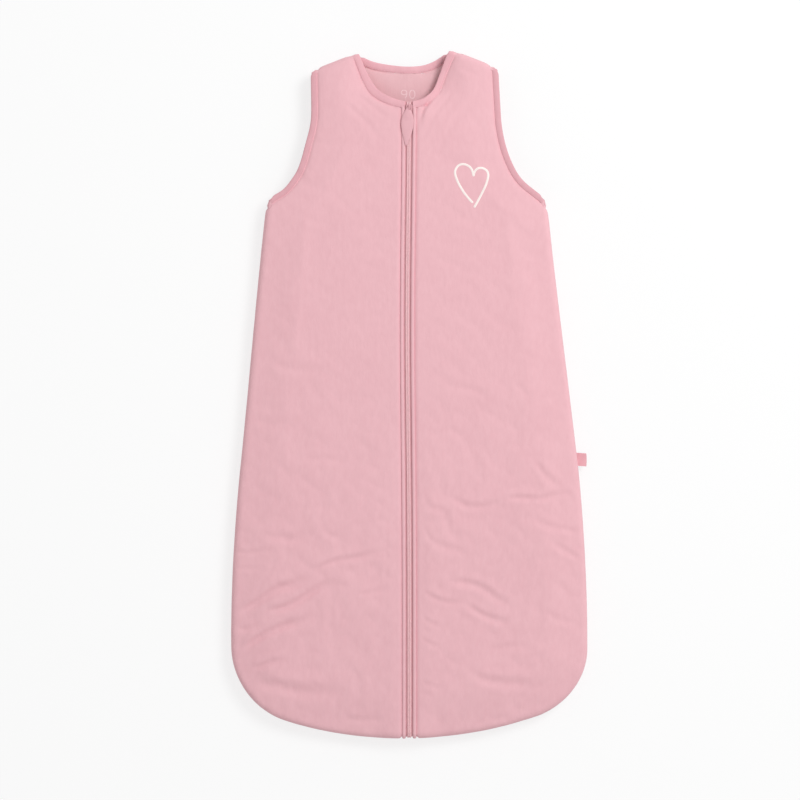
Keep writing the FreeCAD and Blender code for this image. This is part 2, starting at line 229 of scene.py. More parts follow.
def nearest(points, line):
    """Distance of each point from a line, the nearest place there, its stretch, and the share of that."""
    best = np.full(len(points), np.inf)
    place = np.zeros((len(points), 2))
    stretch = np.zeros(len(points), int)
    share = np.zeros(len(points))
    for index, (first, step) in enumerate(zip(line, np.diff(line, axis=0))):
        t = np.clip((points - first) @ step / max(step @ step, 1e-9), 0, 1)
        at = first + t[:, None] * step
        far = np.linalg.norm(points - at, axis=1)
        closer = far < best
        best[closer], place[closer], share[closer] = far[closer], at[closer], t[closer]
        stretch[closer] = index
    return best, place, stretch, share


def clearance(points, lines):
    """Distance from each point to the nearest of several lines."""
    far = np.full(len(points), np.inf)
    for line in lines:
        far = np.minimum(far, nearest(points, line)[0])
    return far


def inside(points, polygon):
    """Whether each point is inside a closed polygon."""
    result = np.zeros(len(points), bool)
    x, y = points[:, 0], points[:, 1]
    for (x1, y1), (x2, y2) in zip(polygon, np.roll(polygon, -1, axis=0)):
        if y1 != y2:
            crosses = (y1 > y) != (y2 > y)
            result ^= crosses & (x < (x2 - x1) * (y - y1) / (y2 - y1) + x1)
    return result


def bump(x, y, middle, reach):
    """1 at a middle, fading out over its reach."""
    return np.exp(-((x - middle[0]) / reach[0]) ** 2 - ((y - middle[1]) / reach[1]) ** 2)


def value_noise(points, cell, seed):
    """Smooth noise between -1 and 1 with cells of the given size, the same each time."""
    grid = np.random.default_rng(seed).uniform(-1, 1, (64, 64))
    at = points / np.asarray(cell, float) + 1000
    low = np.floor(at).astype(int)
    part = smooth(at - low)
    i, j = low[:, 0] % 64, low[:, 1] % 64
    i2, j2 = (i + 1) % 64, (j + 1) % 64
    lower = grid[i, j] * (1 - part[:, 0]) + grid[i2, j] * part[:, 0]
    upper = grid[i, j2] * (1 - part[:, 0]) + grid[i2, j2] * part[:, 0]
    return lower * (1 - part[:, 1]) + upper * part[:, 1]


# ---------------------------------------------------------------- the bag's outline

def side_seam(step):
    """Closed seam of the right half: from the middle of the hem round to the armpit."""
    turn = math.asin((half_width - hem_corner_radius) / (hem_radius - hem_corner_radius))
    hem_end = np.array([hem_radius * math.sin(turn), hem_y + hem_radius * (1 - math.cos(turn))])
    corner_end = np.array([half_width, hem_end[1] + hem_corner_radius * math.cos(turn)])
    bend = corner_end + np.array([0, side_bend_run])
    bend_end = bend + unit(armpit - bend) * side_bend_run
    return joined(
        arc([0, hem_y], [1, 0], hem_end, step),
        arc(hem_end, [math.cos(turn), math.sin(turn)], corner_end, step),
        arc(corner_end, [0, 1], bend_end, step),
        straight(bend_end, armpit, step),
    )


right_rim_seam = side_seam(seam_spacing)


def envelope():
    """The right half's rim with armhole and neck filled in."""
    seam = right_rim_seam
    inwards = unit(seam[-1] - seam[-2])
    shoulder = unit(shoulder_tip - neck_point)
    across = left_of(shoulder)
    rise = ((neck_point - armpit) @ across) / (inwards @ across)
    corner = armpit + inwards * rise
    peak = neck_point - shoulder * (neck_point[0] / shoulder[0])
    return joined(seam, straight(armpit, corner, 30), straight(corner, peak, 30))


right_rim = envelope()
whole_rim = joined(mirrored(right_rim)[::-1], right_rim)


def armhole():
    """Edge of the right armhole: nearly straight, then two arcs, then straight to the armpit."""
    upper = arc(armhole_upper, armhole_upper - shoulder_tip, armhole_lower, 3)
    lower = arc(armhole_lower, upper[-1] - upper[-2], armhole_run_out, 3)
    return joined(
        straight(shoulder_tip, armhole_upper, 3), upper, lower, straight(armhole_run_out, armpit, 3),
    )


armhole_line = armhole()


def front_neck_line():
    """Front neckline from the zip to the neck point."""
    centre = np.array([0, neck_low_y + neck_radius])
    reach = neck_point - centre
    swing = math.atan2(reach[1], reach[0]) - math.acos(neck_radius / np.linalg.norm(reach))
    first = math.asin(band_start / neck_radius) - math.pi / 2
    angles = np.linspace(first, swing, 16)
    curve = centre + neck_radius * np.stack([np.cos(angles), np.sin(angles)], axis=1)
    return joined(curve, straight(curve[-1], neck_point, 3))


neck_line = front_neck_line()
back_neck_line = arc([0, top_y - back_neck_depth], [1, 0], neck_point, 3)


def inward(line, start_seam, end_seam, turn_run=9.0):
    """Direction from a bound edge into the cloth, one deep across it, and along the seams at both ends.

    The cloth lies on the right of the line.
    """
    normal = -left_of(unit(np.gradient(line, axis=0)))
    far = along(line)
    for index, seam, distance in ((0, start_seam, far), (-1, end_seam, far[-1] - far)):
        slope = unit(seam)
        slope = slope / (slope @ normal[index])
        share = 1 - smooth(distance / turn_run)[:, None]
        normal = normal * (1 - share) + slope * share
    return normal


armhole_in = inward(armhole_line, neck_point - shoulder_tip, right_rim_seam[-2] - armpit)
neck_in = inward(neck_line, [0, -1], shoulder_tip - neck_point)
half_back_neck_in = inward(back_neck_line, [0, -1], shoulder_tip - neck_point)
FRONT_EDGES = [(neck_line, neck_band_width), (armhole_line, arm_band_width)]
BACK_EDGES = [(back_neck_line, neck_band_width), (armhole_line, arm_band_width)]


# Distances from the seam at which the rim's rounding needs points
rim_rows = rim_run * (1 - np.cos(np.radians([5, 14, 24, 36, 48, 60, 74])) ** (2 / rim_power))


# ---------------------------------------------------------------- how the cloth lies

# Soft folds of the front: the line of each, its width and its depth. Each fades out towards its last point
FOLDS = [
    # Left, from the side seam up towards the zip
    ([(-222, -284), (-196, -268), (-172, -252), (-146, -243), (-118, -227)], 7.0, 3.6),
    ([(-130, -230), (-100, -216), (-72, -211), (-46, -205), (-18, -199)], 5.0, 2.1),
    ([(-188, -282), (-165, -276), (-146, -268), (-117, -250), (-84, -236)], 6.5, 3.4),
    ([(-218, -334), (-201, -319), (-175, -304), (-152, -296), (-112, -283)], 6.5, 3.6),
    ([(-224, -306), (-205, -302), (-182, -295)], 4.5, 1.4),
    ([(-206, -356), (-190, -350), (-175, -345), (-152, -342)], 5.0, 2.1),
    ([(-206, -372), (-178, -377), (-150, -382), (-110, -387), (-66, -386)], 11.0, 2.5),
    ([(-228, -203), (-206, -204), (-184, -201), (-168, -202)], 4.0, 1.1),
    ([(-196, -182), (-168, -184), (-148, -187), (-122, -173), (-104, -178)], 7.0, 1.4),
    ([(-112, -176), (-93, -184), (-76, -169), (-60, -172)], 5.5, 1.0),
    ([(-70, -258), (-44, -255), (-16, -247)], 4.5, 1.0),
    ([(-228, -224), (-206, -225), (-180, -223)], 4.5, 0.7),
    ([(-140, -84), (-108, -83), (-72, -88)], 6.0, 0.6),
    ([(-222, -120), (-196, -104), (-180, -92), (-160, -70)], 7.0, 0.8),
    ([(-84, -421), (-58, -423), (-30, -421)], 5.5, 1.0),
    ([(-150, -150), (-116, -144), (-84, -146)], 7.0, 0.6),
    ([(-206, -30), (-170, -38), (-128, -34)], 8.0, 0.5),
    ([(-178, 40), (-140, 34), (-104, 36)], 8.0, 0.4),
    # Right, across the thigh and the knee
    ([(50, -130), (74, -143), (96, -144), (112, -141), (132, -131)], 5.5, 1.4),
    ([(118, -134), (142, -133), (170, -134), (192, -129), (206, -129), (222, -148)], 5.0, 1.6),
    ([(160, -80), (170, -96), (184, -111), (206, -126)], 5.5, 1.4),
    ([(19, -118), (25, -144), (44, -150), (52, -174), (68, -190), (98, -198)], 6.5, 1.0),
    ([(15, -160), (24, -182), (42, -196), (66, -202), (90, -226)], 6.5, 1.0),
    ([(48, -243), (76, -244), (96, -251), (116, -265), (146, -280)], 6.5, 2.0),
    ([(70, -268), (92, -283), (118, -293), (146, -293)], 5.5, 1.7),
    ([(17, -253), (40, -266), (60, -269), (80, -265)], 4.5, 1.3),
    ([(14, -287), (28, -295), (46, -302)], 4.0, 1.1),
    ([(14, -315), (28, -323), (46, -329)], 4.0, 1.0),
    ([(14, -372), (28, -379), (48, -386)], 4.5, 0.8),
    ([(78, -367), (112, -374), (142, -377), (182, -380)], 9.0, 1.8),
    ([(224, -214), (208, -205), (194, -196), (178, -180)], 5.0, 1.3),
    ([(222, -178), (202, -174), (180, -169), (148, -153)], 5.5, 1.1),
    ([(108, -329), (134, -326), (164, -324)], 6.5, 0.8),
    ([(214, -296), (198, -292), (180, -287)], 5.0, 0.8),
    ([(98, -423), (120, -424), (146, -420)], 6.0, 0.8),
    ([(50, 11), (80, 8), (110, -4)], 6.0, 0.6),
    ([(50, -38), (64, -52), (76, -48), (92, -36)], 6.0, 0.7),
    ([(138, 16), (150, 4), (166, -8)], 6.0, 0.6),
    ([(204, 20), (190, 4), (182, -14)], 6.0, 0.7),
    # Below the armholes
    ([(150, 300), (132, 286), (118, 268)], 6.0, 0.6),
    ([(-150, 298), (-134, 280), (-122, 262)], 6.0, 0.6),
    ([(-116, 330), (-98, 326), (-76, 330)], 6.0, 0.4),
]

# Folds round the neck, where the slider pulls at it
NECK_FOLDS = [
    ([(44, 399), (33, 390), (24, 380), (17, 368), (13.5, 356), (12, 344)], 3.4, 3.2),
    ([(66, 398), (42, 374), (27, 352), (19, 330)], 4.5, 0.8),
    ([(96, 392), (72, 366), (50, 338), (38, 312)], 7.0, 0.5),
    ([(-58, 392), (-40, 376), (-22, 354)], 4.0, 0.6),
    ([(-84, 384), (-56, 360), (-30, 326)], 6.0, 0.4),
    ([(96, 414), (80, 419), (66, 427)], 4.0, 0.7),
    ([(-96, 411), (-80, 418), (-66, 424)], 4.0, 0.6),
]

# Folds of the back, which lies against the surface
BACK_FOLDS = [
    ([(-190, -250), (-120, -222), (-40, -170)], 9.0, 1.2),
    ([(-70, -330), (10, -326), (90, -300)], 9.0, 1.1),
    ([(30, -120), (110, -146), (190, -190)], 9.0, 1.2),
    ([(-160, 20), (-90, 30), (-20, 60)], 10.0, 0.9),
    ([(20, 140), (80, 132), (150, 110)], 10.0, 0.9),
    ([(-96, 250), (-30, 266), (46, 270)], 9.0, 0.7),
    ([(-64, 410), (0, 402), (54, 404)], 7.0, 0.5),
]

lining_ease = 0.55           # share of a fold's depth that the lining doesn't follow
fold_depth_share = 0.8       # of the depths above
fold_width_share = 0.75      # and of the widths
cloth_bias = np.array([[math.cos(0.5), -math.sin(0.5)], [math.sin(0.5), math.cos(0.5)]])


def measured(points, line):
    """Signed distance from a line, left of it above 0, and the share of its length that lies behind."""
    distance, place, stretch, share = nearest(points, line)
    away = points - place
    step = np.diff(line, axis=0)[stretch]
    turn = step[:, 0] * away[:, 1] - step[:, 1] * away[:, 0]
    far = along(line)
    return distance * np.sign(turn), (far[stretch] + share * np.linalg.norm(step, axis=1)) / far[-1]


def fold_heights(points, folds):
    """Valleys with a soft ridge on each side, fading out at both ends."""
    total = np.zeros(len(points))
    for route, width, depth in folds:
        line = smooth_line(route, 6)
        width = width * fold_width_share
        margin = 5 * width
        low, high = line.min(0) - margin, line.max(0) + margin
        near = ((points > low) & (points < high)).all(1)
        across, share = measured(points[near], line)
        spread = width * (0.8 + 0.4 * share)
        shape = -np.exp(-(across / spread) ** 2)
        shape += 0.6 * np.exp(-((across - 1.8 * spread) / (1.2 * spread)) ** 2)
        shape += 0.3 * np.exp(-((across + 1.8 * spread) / (1.3 * spread)) ** 2)
        total[near] += depth * smooth(share / 0.2) * smooth((1 - share) / 0.5) * shape
    return total * fold_depth_share


pucker_height = 0.22
pucker_cells = (11, 6.5)     # of the wide and the narrow wrinkles


def seam_puckers(points, rim_distance, seed):
    """Short cross wrinkles that the seam draws into the rim."""
    wide, narrow = [value_noise(points, (cell, cell), seed + k) for k, cell in enumerate(pucker_cells)]
    return np.exp(-((rim_distance - 7) / 6) ** 2) * (wide + 0.7 * narrow) * pucker_height


def crumple(points, cell, seed):
    """Sharp little valleys between rounded humps, as washed cotton has them."""
    return 0.5 - 2 * np.abs(value_noise(points, cell, seed)) ** 0.8


def between(grid, low, cell, points):
    """Heights of a square net at points between its own, as a smooth surface."""
    at = (points - low) / cell
    first = np.clip(np.floor(at).astype(int), 1, np.array(grid.shape) - 3)
    t = np.clip(at - first, 0, 1)
    shares = [(1 - t) ** 3 / 6, (3 * t ** 3 - 6 * t ** 2 + 4) / 6]
    shares += [(-3 * t ** 3 + 3 * t ** 2 + 3 * t + 1) / 6, t ** 3 / 6]
    total = np.zeros(len(points))
    for i, along_x in enumerate(shares):
        for j, along_y in enumerate(shares):
            share = along_x[:, 0] * along_y[:, 1]
            total += share * grid[first[:, 0] + i - 1, first[:, 1] + j - 1]
    return total


# What the cloth simulation adds to the front's heights, on a square net over the bag
net_low = np.array([-half_width, hem_y])
net_shape = tuple(np.ceil((np.array([half_width, top_y]) - net_low) / net_cell).astype(int) + 1)
creases = np.zeros(net_shape)


def legs(points):
    """0 over the chest, 1 over the legs, where the cloth lies more creased."""
    return smooth((70 + 0.2 * points[:, 0] - points[:, 1]) / 210)


def limp_edges(points):
    """How far the edges sink at the neck, between the shoulders and the zip, and round the armholes."""
    across = np.abs(points[:, 0])
    beside_neck = bump(across, points[:, 1], (44, 412), (26, 34)) * smooth((across - shell_edge) / 26)
    arm = clearance(points, [armhole_line, mirrored(armhole_line)])
    return neck_sink * beside_neck + armhole_sink * (1 - smooth(arm / 48))


# Unevenness of the front. Cell of each noise and its seed, its height over the chest and what the legs add
SWELLS = [((95, 130), 3, 0.35, 0.85), ((38, 46), 5, 0.05, 0.55)]
CRUMPLES = [((22, 36), 7, 0.01, 0.2), ((11, 19), 8, 0.01, 0.42)]
zip_ripple = (0.06, 0.22)    # height of the short waves beside the zip, over the chest and what the legs add
zip_ripple_run = 13.0        # and how soon they fade


def front_heights(points, rim_distance):
    """How far the front's outer face stands above its even form."""
    across, low_part = np.abs(points[:, 0]), legs(points)
    height = fold_heights(points, FOLDS)
    for cell, seed, chest, more in SWELLS:
        height += value_noise(points, cell, seed) * (chest + more * low_part)
    # The two crumples run across each other
    for (cell, seed, chest, more), turned in zip(CRUMPLES, (cloth_bias, cloth_bias.T)):
        height -= crumple(points @ turned, cell, seed) * (chest + more * low_part)
    beside_zip = np.exp(-np.clip(across - shell_edge, 0, None) / zip_ripple_run)
    ripple = value_noise(points, (60, 9), 11) + 0.6 * value_noise(points, (60, 5.5), 13)
    height += beside_zip * ripple * (zip_ripple[0] + zip_ripple[1] * low_part)
    height += seam_puckers(points, rim_distance, 15)
    height -= limp_edges(points)
    # The zip stays level
    stiff_zip = 0.04 + 0.96 * smooth((across - 11) / 16)
    height = (height + between(creases, net_low, net_cell, points)) * stiff_zip
    return (height + fold_heights(points, NECK_FOLDS)) * smooth((rim_distance + 1) / 9)


BACK_SWELLS = [((90, 120), 23, 0.5), ((30, 40), 25, 0.25)]    # cell, seed and height
back_press = 0.75            # where folds would stand out by more than this, the surface presses them flat


def back_heights(points, rim_distance):
    """How far the back stands out: 0 or less, as it lies on the surface and its folds rise from there."""
    height = fold_heights(points, BACK_FOLDS)
    for cell, seed, swell in BACK_SWELLS:
        height += value_noise(points, cell, seed) * swell
    height += seam_puckers(points, rim_distance, 27)
    raised = under_neck * bump(points[:, 0], points[:, 1], (0, 420), (60, 50))
    return np.minimum(height - back_press, 0) * smooth((rim_distance + 1) / 14) - raised


# Places where the edge lies a little beside its even line: by how much, the middle and the reach
SHIFTS = [
    ((-7.0, 0.0), (-39, 402), (24, 46)),      # the left neckline is drawn outwards
    ((2.5, 0.0), (39, 402), (24, 46)),        # and the right one less
    ((-3.4, 0.0), (-128, 326), (30, 28)),     # the left armhole lies further out
    ((1.8, -2.0), (-163, 268), (14, 13)),     # and its lower bend further in
]


shoulder_left = 3.0          # the shoulders lie this much further to the left
shoulder_drop = (2.4, 1.6)   # the left one lies this much further down, the right one further up
hem_rise = 2.1               # the hem lies this much further up than the frame's
hem_tilt = 0.016             # more so on the right
hem_hump = (0.7, 80)         # and in the middle, over this reach
foot_narrowing = 0.012       # the left half is narrower by this share at the foot


def settled(points):
    """The bag lies slightly askew: its upper part a little to the left, its left shoulder lower."""
    out = np.array(points, float)
    x, y = out[..., 0].copy(), out[..., 1].copy()
    beside_zip = smooth((np.abs(x) - 12) / 45)
    upper = smooth((y + 120) / 340)
    top = smooth((y - 330) / 110)
    foot = smooth((-y - 300) / 120)
    out[..., 0] -= beside_zip * (settle_left * upper + shoulder_left * top)
    out[..., 0] -= (1 - beside_zip) * zip_drift * np.exp(-((y - 90) / 190) ** 2)
    out[..., 1] += beside_zip * np.where(x < 0, -shoulder_drop[0], shoulder_drop[1]) * top
    out[..., 1] += (hem_rise + hem_tilt * np.clip(x, -150, 150)) * foot
    out[..., 1] += hem_hump[0] * foot * np.exp(-(x / hem_hump[1]) ** 2)
    out[..., 0] -= foot_narrowing * np.minimum(x + tape_outer, 0) * foot
    for shift, middle, reach in SHIFTS:
        out[..., :2] += bump(x, y, middle, reach)[..., None] * shift
    return out


pinch_run = 11.0             # the padding regains its height within this beside a binding
groove = (0.9, 1.2)          # distance of the groove's bottom from the binding, and its half width


def squeeze(points, edges):
    """Share of the pinch under a binding, and of the groove beside it, at each point."""
    pinched = np.zeros(len(points))
    grooved = np.zeros(len(points))
    for line, width in edges:
        for edge in (line, mirrored(line)):
            far = nearest(points, edge)[0] - width
            pinched = np.maximum(pinched, 1 - smooth(far / pinch_run))
            grooved = np.maximum(grooved, np.exp(-((far - groove[0]) / groove[1]) ** 2))
    beside_zip = smooth((np.abs(points[:, 0]) - 6) / 10)
    return pinched * beside_zip, grooved * beside_zip


class Plan:
    """Points of the flat plan, with what places them on the front or the back of the bag."""

    def __init__(self, points, front=True):
        points = np.asarray(points, float)
        self.front = front
        self.distance, towards, place = from_rim(points)
        c = 1 - np.clip(self.distance / rim_run, 0, 1)
        s = (1 - c ** rim_power) ** (1 / rim_power)
        seam = rim_z if front else thickness - rim_z
        half = thickness - seam - seam_gap
        steep, level = half * c ** (rim_power - 1), rim_run * s ** (rim_power - 1)
        normal = np.concatenate([-steep[:, None] * towards, level[:, None]], axis=1)
        tuck = seam_tuck + seam_wander * value_noise(place, (17, 17), 31)
        tucked = points + towards * (tuck * (1 - s) ** 3)[:, None]
        self.normal = unit(normal)
        rise = half * s
        if front:
            beside_zip = smooth((np.abs(points[:, 0]) - tape_outer) / 30)
            below_arms = smooth((270 - points[:, 1]) / 120)
            rise *= 1 - slump * (1 - smooth(self.distance / slump_run)) * beside_zip * below_arms
        self.base = np.concatenate([tucked, (seam + seam_gap + rise)[:, None]], axis=1)
        heights = front_heights if front else back_heights
        self.pinch, self.groove = squeeze(points, FRONT_EDGES if front else BACK_EDGES)
        beside_band = smooth(self.pinch / 0.3) * smooth((1 - self.pinch) / 0.4)
        gathers = beside_band * value_noise(points, (8, 8), 19) * band_gather
        self.rise = heights(points, self.distance) + gathers

    def at(self, depth):
        """Points at a depth below the outer face. Deeper layers follow the folds less."""
        middle = lining_bottom / 2
        depth = np.broadcast_to(np.asarray(depth, float), self.rise.shape)
        follow = 1 - lining_ease * np.clip(depth / lining_bottom, 0, 1)
        share = 1 - pinch_share * self.pinch - groove_share * self.groove
        pressed = middle + (depth - middle) * share
        out = self.base + self.normal * (self.rise * follow - pressed)[:, None]
        if not self.front:
            out[:, 2] = np.maximum(thickness - out[:, 2], 0.02)
        return settled(out)


def rim_normals(place):
    """Inward direction of the rim at places that lie on it."""
    middle = (whole_rim[:-1] + whole_rim[1:]) / 2
    sideways = left_of(unit(np.diff(whole_rim, axis=0)))
    out = np.zeros((len(place), 2))
    for index, point in enumerate(place):
        near = np.argsort(np.linalg.norm(middle - point, axis=1))[:2]
        out[index] = unit(sideways[near].mean(axis=0))
    return out


def from_rim(points):
    """Distance of each point from the rim, the direction away from it, and the nearest place on it."""
    distance, place = nearest(points, whole_rim)[:2]
    covered = inside(points, whole_rim[:-1])
    towards = unit(points - place)
    on_rim = (distance < 0.02) | ~covered
    if on_rim.any():
        towards[on_rim] = rim_normals(place[on_rim])
    return np.where(covered, distance, 0), towards, place


def spread_flat(points):
    """Places on the cloth with the rim's wall laid out flat around the plan, for even triangles."""
    turn = np.radians(np.linspace(0, 90, 46))
    run = rim_run * (1 - np.cos(turn) ** (2 / rim_power))
    rise = seam_z * np.sin(turn) ** (2 / rim_power)
    length = along(np.stack([run, rise], axis=1))
    spare = (length[-1] - length) - (rim_run - run)
    distance, towards, _ = from_rim(points)
    return points - towards * np.interp(distance, run, spare)[:, None]


def on_bag(flat, front=True):
    """Places an array of (x, y, depth) on the bag."""
    flat = np.asarray(flat, float)
    rows = flat.reshape(-1, 3)
    return Plan(rows[:, :2], front).at(rows[:, 2]).reshape(flat.shape)


# ---------------------------------------------------------------- cloth simulation

pin_band = 24.0              # the cloth frees itself from seams and edges within this
wadding_hold = 0.06          # share of a pin's hold that the wadding has on the cloth
crease_limit = 2.6           # most that a point may move up or down
growth = (-0.0012, -0.02)    # shrinkage of the cloth over the chest and over the legs, below 0 it grows
crease_frames = 24
NET_CLOTH = {
    "quality": 6, "mass": 0.15, "tension_stiffness": 15, "compression_stiffness": 15, "shear_stiffness": 6,
    "bending_stiffness": 0.1, "air_damping": 2, "pin_stiffness": 1.0,
}


def net_points():
    """Places of the square net, row by row."""
    x = net_low[0] + net_cell * np.arange(net_shape[0])
    y = net_low[1] + net_cell * np.arange(net_shape[1])
    return np.stack(np.meshgrid(x, y, indexing="ij"), axis=2).reshape(-1, 2)


def net_freedom(points):
    """0 where a point of the net is held by a seam or an edge, 1 in the open cloth."""
    edges = [whole_rim, armhole_line, mirrored(armhole_line), neck_line, mirrored(neck_line)]
    clear = np.minimum(clearance(points, edges), np.abs(points[:, 0]) - shell_edge)
    body = inside(points, whole_rim[:-1])
    for edge, inner in ((armhole_line, 1), (neck_line, -1)):
        for side in (1, -1):
            line = edge * np.array([side, 1])
            gap = np.concatenate([line, line[::-1] + np.array([side * inner * 300, 300])])
            body &= ~inside(points, gap)
    return smooth((clear - 3) / pin_band) * body


def net_faces(free):
    """Which points the net's faces use, and the faces by those, wherever the cloth is free."""
    numbers = np.arange(len(free)).reshape(net_shape)
    corners = np.stack([numbers[:-1, :-1], numbers[1:, :-1], numbers[1:, 1:], numbers[:-1, 1:]], axis=-1)
    faces = corners.reshape(-1, 4)
    faces = faces[free[faces].max(axis=1) > 0]
    used = np.unique(faces)
    renumbered = np.full(len(free), -1)
    renumbered[used] = np.arange(len(used))
    return used, renumbered[faces].tolist()


def make_cloth(net, free, low_part):
    """Makes the net a cloth that is held by seams, edges and wadding, and too large over the legs."""
    hold = net.vertex_groups.new(name="hold")
    loose = net.vertex_groups.new(name="loose")
    for index, (share, lower) in enumerate(zip(free, low_part)):
        hold.add([index], float(1 - share * (1 - wadding_hold)), "REPLACE")
        loose.add([index], float(lower), "REPLACE")
    cloth = net.modifiers.new("cloth", "CLOTH").settings
    for key, value in NET_CLOTH.items():
        setattr(cloth, key, value)
    cloth.effector_weights.gravity = 0
    cloth.vertex_group_mass = "hold"
    cloth.vertex_group_shrink = "loose"
    cloth.shrink_min, cloth.shrink_max = growth


def crease_front():
    """Lets the front's cloth, a little too large for its seams, buckle on its wadding."""
    points = net_points()
    free = net_freedom(points)
    used, faces = net_faces(free)
    start = Plan(points[used]).at(0.0)
    net = make_object("front_net", start, faces, shell_jersey)
    make_cloth(net, free[used], legs(points[used]))
    scene = bpy.context.scene
    for number in range(1, crease_frames + 1):
        scene.frame_set(number)
    result = net.evaluated_get(bpy.context.evaluated_depsgraph_get()).to_mesh()
    ends = np.array([v.co for v in result.vertices]) / MM
    scene.frame_set(1)
    mesh = net.data
    bpy.data.objects.remove(net)
    bpy.data.meshes.remove(mesh)
    flat_creases = creases.reshape(-1)
    flat_creases[used] = np.clip((ends - start)[:, 2], -crease_limit, crease_limit)


# ---------------------------------------------------------------- meshes

def placed(name, data):
    """A new object in the scene."""
    thing = bpy.data.objects.new(name, data)
    bpy.context.scene.collection.objects.link(thing)
    return thing


def make_object(name, points, faces, material, cloth=None, sharp_deg=50):
    """Mesh object from points in millimetres. cloth is where each point lies on the flat cloth."""
    mesh = bpy.data.meshes.new(name)
    mesh.from_pydata((np.asarray(points) * MM).tolist(), [], faces)
    work = bmesh.new()
    work.from_mesh(mesh)
    bmesh.ops.recalc_face_normals(work, faces=work.faces)
    work.to_mesh(mesh)
    work.free()
    mesh.shade_smooth()
    mesh.set_sharp_from_angle(angle=math.radians(sharp_deg))
    flat = np.asarray(points if cloth is None else cloth, np.float32)
    pattern = mesh.attributes.new("cloth", "FLOAT_VECTOR", "POINT")
    pattern.data.foreach_set("vector", flat.ravel())
    mesh.materials.append(material)
    return placed(name, mesh)


def swept(name, flat, material, place=on_bag, closed=False, sharp_deg=50):
    """Solid through sections of flat points, each a closed loop, placed on the bag."""
    flat = np.asarray(flat, float)
    count, size = flat.shape[:2]
    faces = []
    for i in range(count if closed else count - 1):
        j = (i + 1) % count
        for k in range(size):
            m = (k + 1) % size
            faces.append((i * size + k, i * size + m, j * size + m, j * size + k))
    if not closed:
        faces.append(tuple(range(size))[::-1])
        faces.append(tuple((count - 1) * size + k for k in range(size)))
    cloth = flat.reshape(-1, 3)
    return make_object(name, place(flat).reshape(-1, 3), faces, material, cloth, sharp_deg)


def beside(line, distance, spacing):
    """Points beside a line, on its left."""
    points = respaced(line, spacing)
    return points + unit(left_of(np.gradient(points, axis=0))) * distance


def lattice(low, high, spacing):
    """Staggered rows of points that fill a box."""
    points = []
    rise = spacing * 0.866
    for row in range(math.floor(low[1] / rise), math.ceil(high[1] / rise)):
        first = math.floor(low[0] / spacing) * spacing + (row % 2) * spacing / 2
        x = np.arange(first, high[0], spacing)
        points.append(np.stack([x, np.full(len(x), row * rise)], axis=1))
    return np.concatenate(points)


# The front folds open along a line from the foot of the zip, which stays closed, to the neck point
fold_foot = np.array([0.2, hem_y + 25])
fold_across = left_of(unit(np.array([64.0, 436.0]) - fold_foot))


lattice_gap = 0.55           # from the last row to the lattice, as a share of the spacing
row_slack = 0.97             # a row's point may lie this much nearer to another edge


def rolled(points):
    """1 in the strip of the right half that rolls when the front folds open, fading to 0 beside it."""
    behind = (points - fold_foot) @ fold_across
    return smooth((behind + roll_margin) / 12) * smooth((fold_width + roll_margin - behind) / 12)


def panel_points(seams, edges, spacing, close_spacing=None):
    """Points inside a panel: rows beside its rounded seams and its other edges, and a lattice.

    Seams and edges run round the panel with the cloth on their left. The lattice is closer in the strip that
    rolls.
    """
    rim_clear = rim_rows[-1] + spacing * lattice_gap
    rows = [(line, row, row * row_slack, edge_rows[0] - 0.1) for line in seams for row in rim_rows]
    rows += [(line, row, rim_clear, row * row_slack) for line in edges for row in edge_rows]
    chosen = []
    for line, row, from_seams, from_edges in rows:
        chosen.append((beside(line, row, spacing), from_seams, from_edges))
    border = np.concatenate(seams + edges)
    points = lattice(border.min(0), border.max(0), spacing)
    if close_spacing:
        close = lattice(border.min(0), border.max(0), close_spacing)
        points = np.concatenate([points[rolled(points) == 0], close[rolled(close) > 0]])
    chosen.append((points, rim_clear, edge_rows[-1] + (close_spacing or spacing) * lattice_gap))
    clear = [(clearance(p, seams) > s) & (clearance(p, edges) > e) for p, s, e in chosen]
    return np.concatenate([entry[0][keep] for entry, keep in zip(chosen, clear)])


def triangulated(loop, inner):
    """Points, triangles and the numbers of the loop's points, for a closed loop with points inside."""
    inner = inner[inside(inner, loop)]
    points = np.concatenate([loop, inner])
    count = len(loop)
    edges = [(i, (i + 1) % count) for i in range(count)]
    made = geometry.delaunay_2d_cdt([Vector(p) for p in spread_flat(points)], edges, [], 1, 1e-5)
    place = {}
    kept = []
    for index, sources in enumerate(made[3]):
        kept.append(points[sources[0]])
        for source in sources:
            place[source] = index
    ring = [place[i] for i in range(count)]
    return np.array(kept), [tuple(f) for f in made[2]], ring


def closed_sheet(name, points, triangles, ring, front, upper, lower, material):
    """Closed solid between two depths, over the same triangles of the plan."""
    plan = Plan(points, front)
    count = len(points)
    faces = list(triangles)
    faces += [tuple(count + i for i in reversed(face)) for face in triangles]
    faces += [(ring[i - 1], ring[i], count + ring[i], count + ring[i - 1]) for i in range(len(ring))]
    both = np.concatenate([plan.at(upper), plan.at(lower)])
    cloth = np.concatenate([
        np.column_stack([points, np.broadcast_to(upper, count)]),
        np.column_stack([points, np.broadcast_to(lower, count)]),
    ])
    return make_object(name, both, faces, material, cloth)


# ---------------------------------------------------------------- materials

def linear(colour):
    """An sRGB hex colour as the linear values that a shader takes."""
    parts = [int(colour[i:i + 2], 16) / 255 for i in (1, 3, 5)]
    return [c / 12.92 if c <= 0.04045 else ((c + 0.055) / 1.055) ** 2.4 for c in parts] + [1.0]


def add(tree, kind, inputs=(), **settings):
    """Adds a node. Settings are its own properties. An input takes a value or another node's output."""
    node = tree.nodes.new("ShaderNode" + kind)
    for key, value in settings.items():
        setattr(node, key, value)
    for key, value in dict(inputs).items():
        if isinstance(value, bpy.types.NodeSocket):
            tree.links.new(value, node.inputs[key])
        else:
            node.inputs[key].default_value = value
    return node


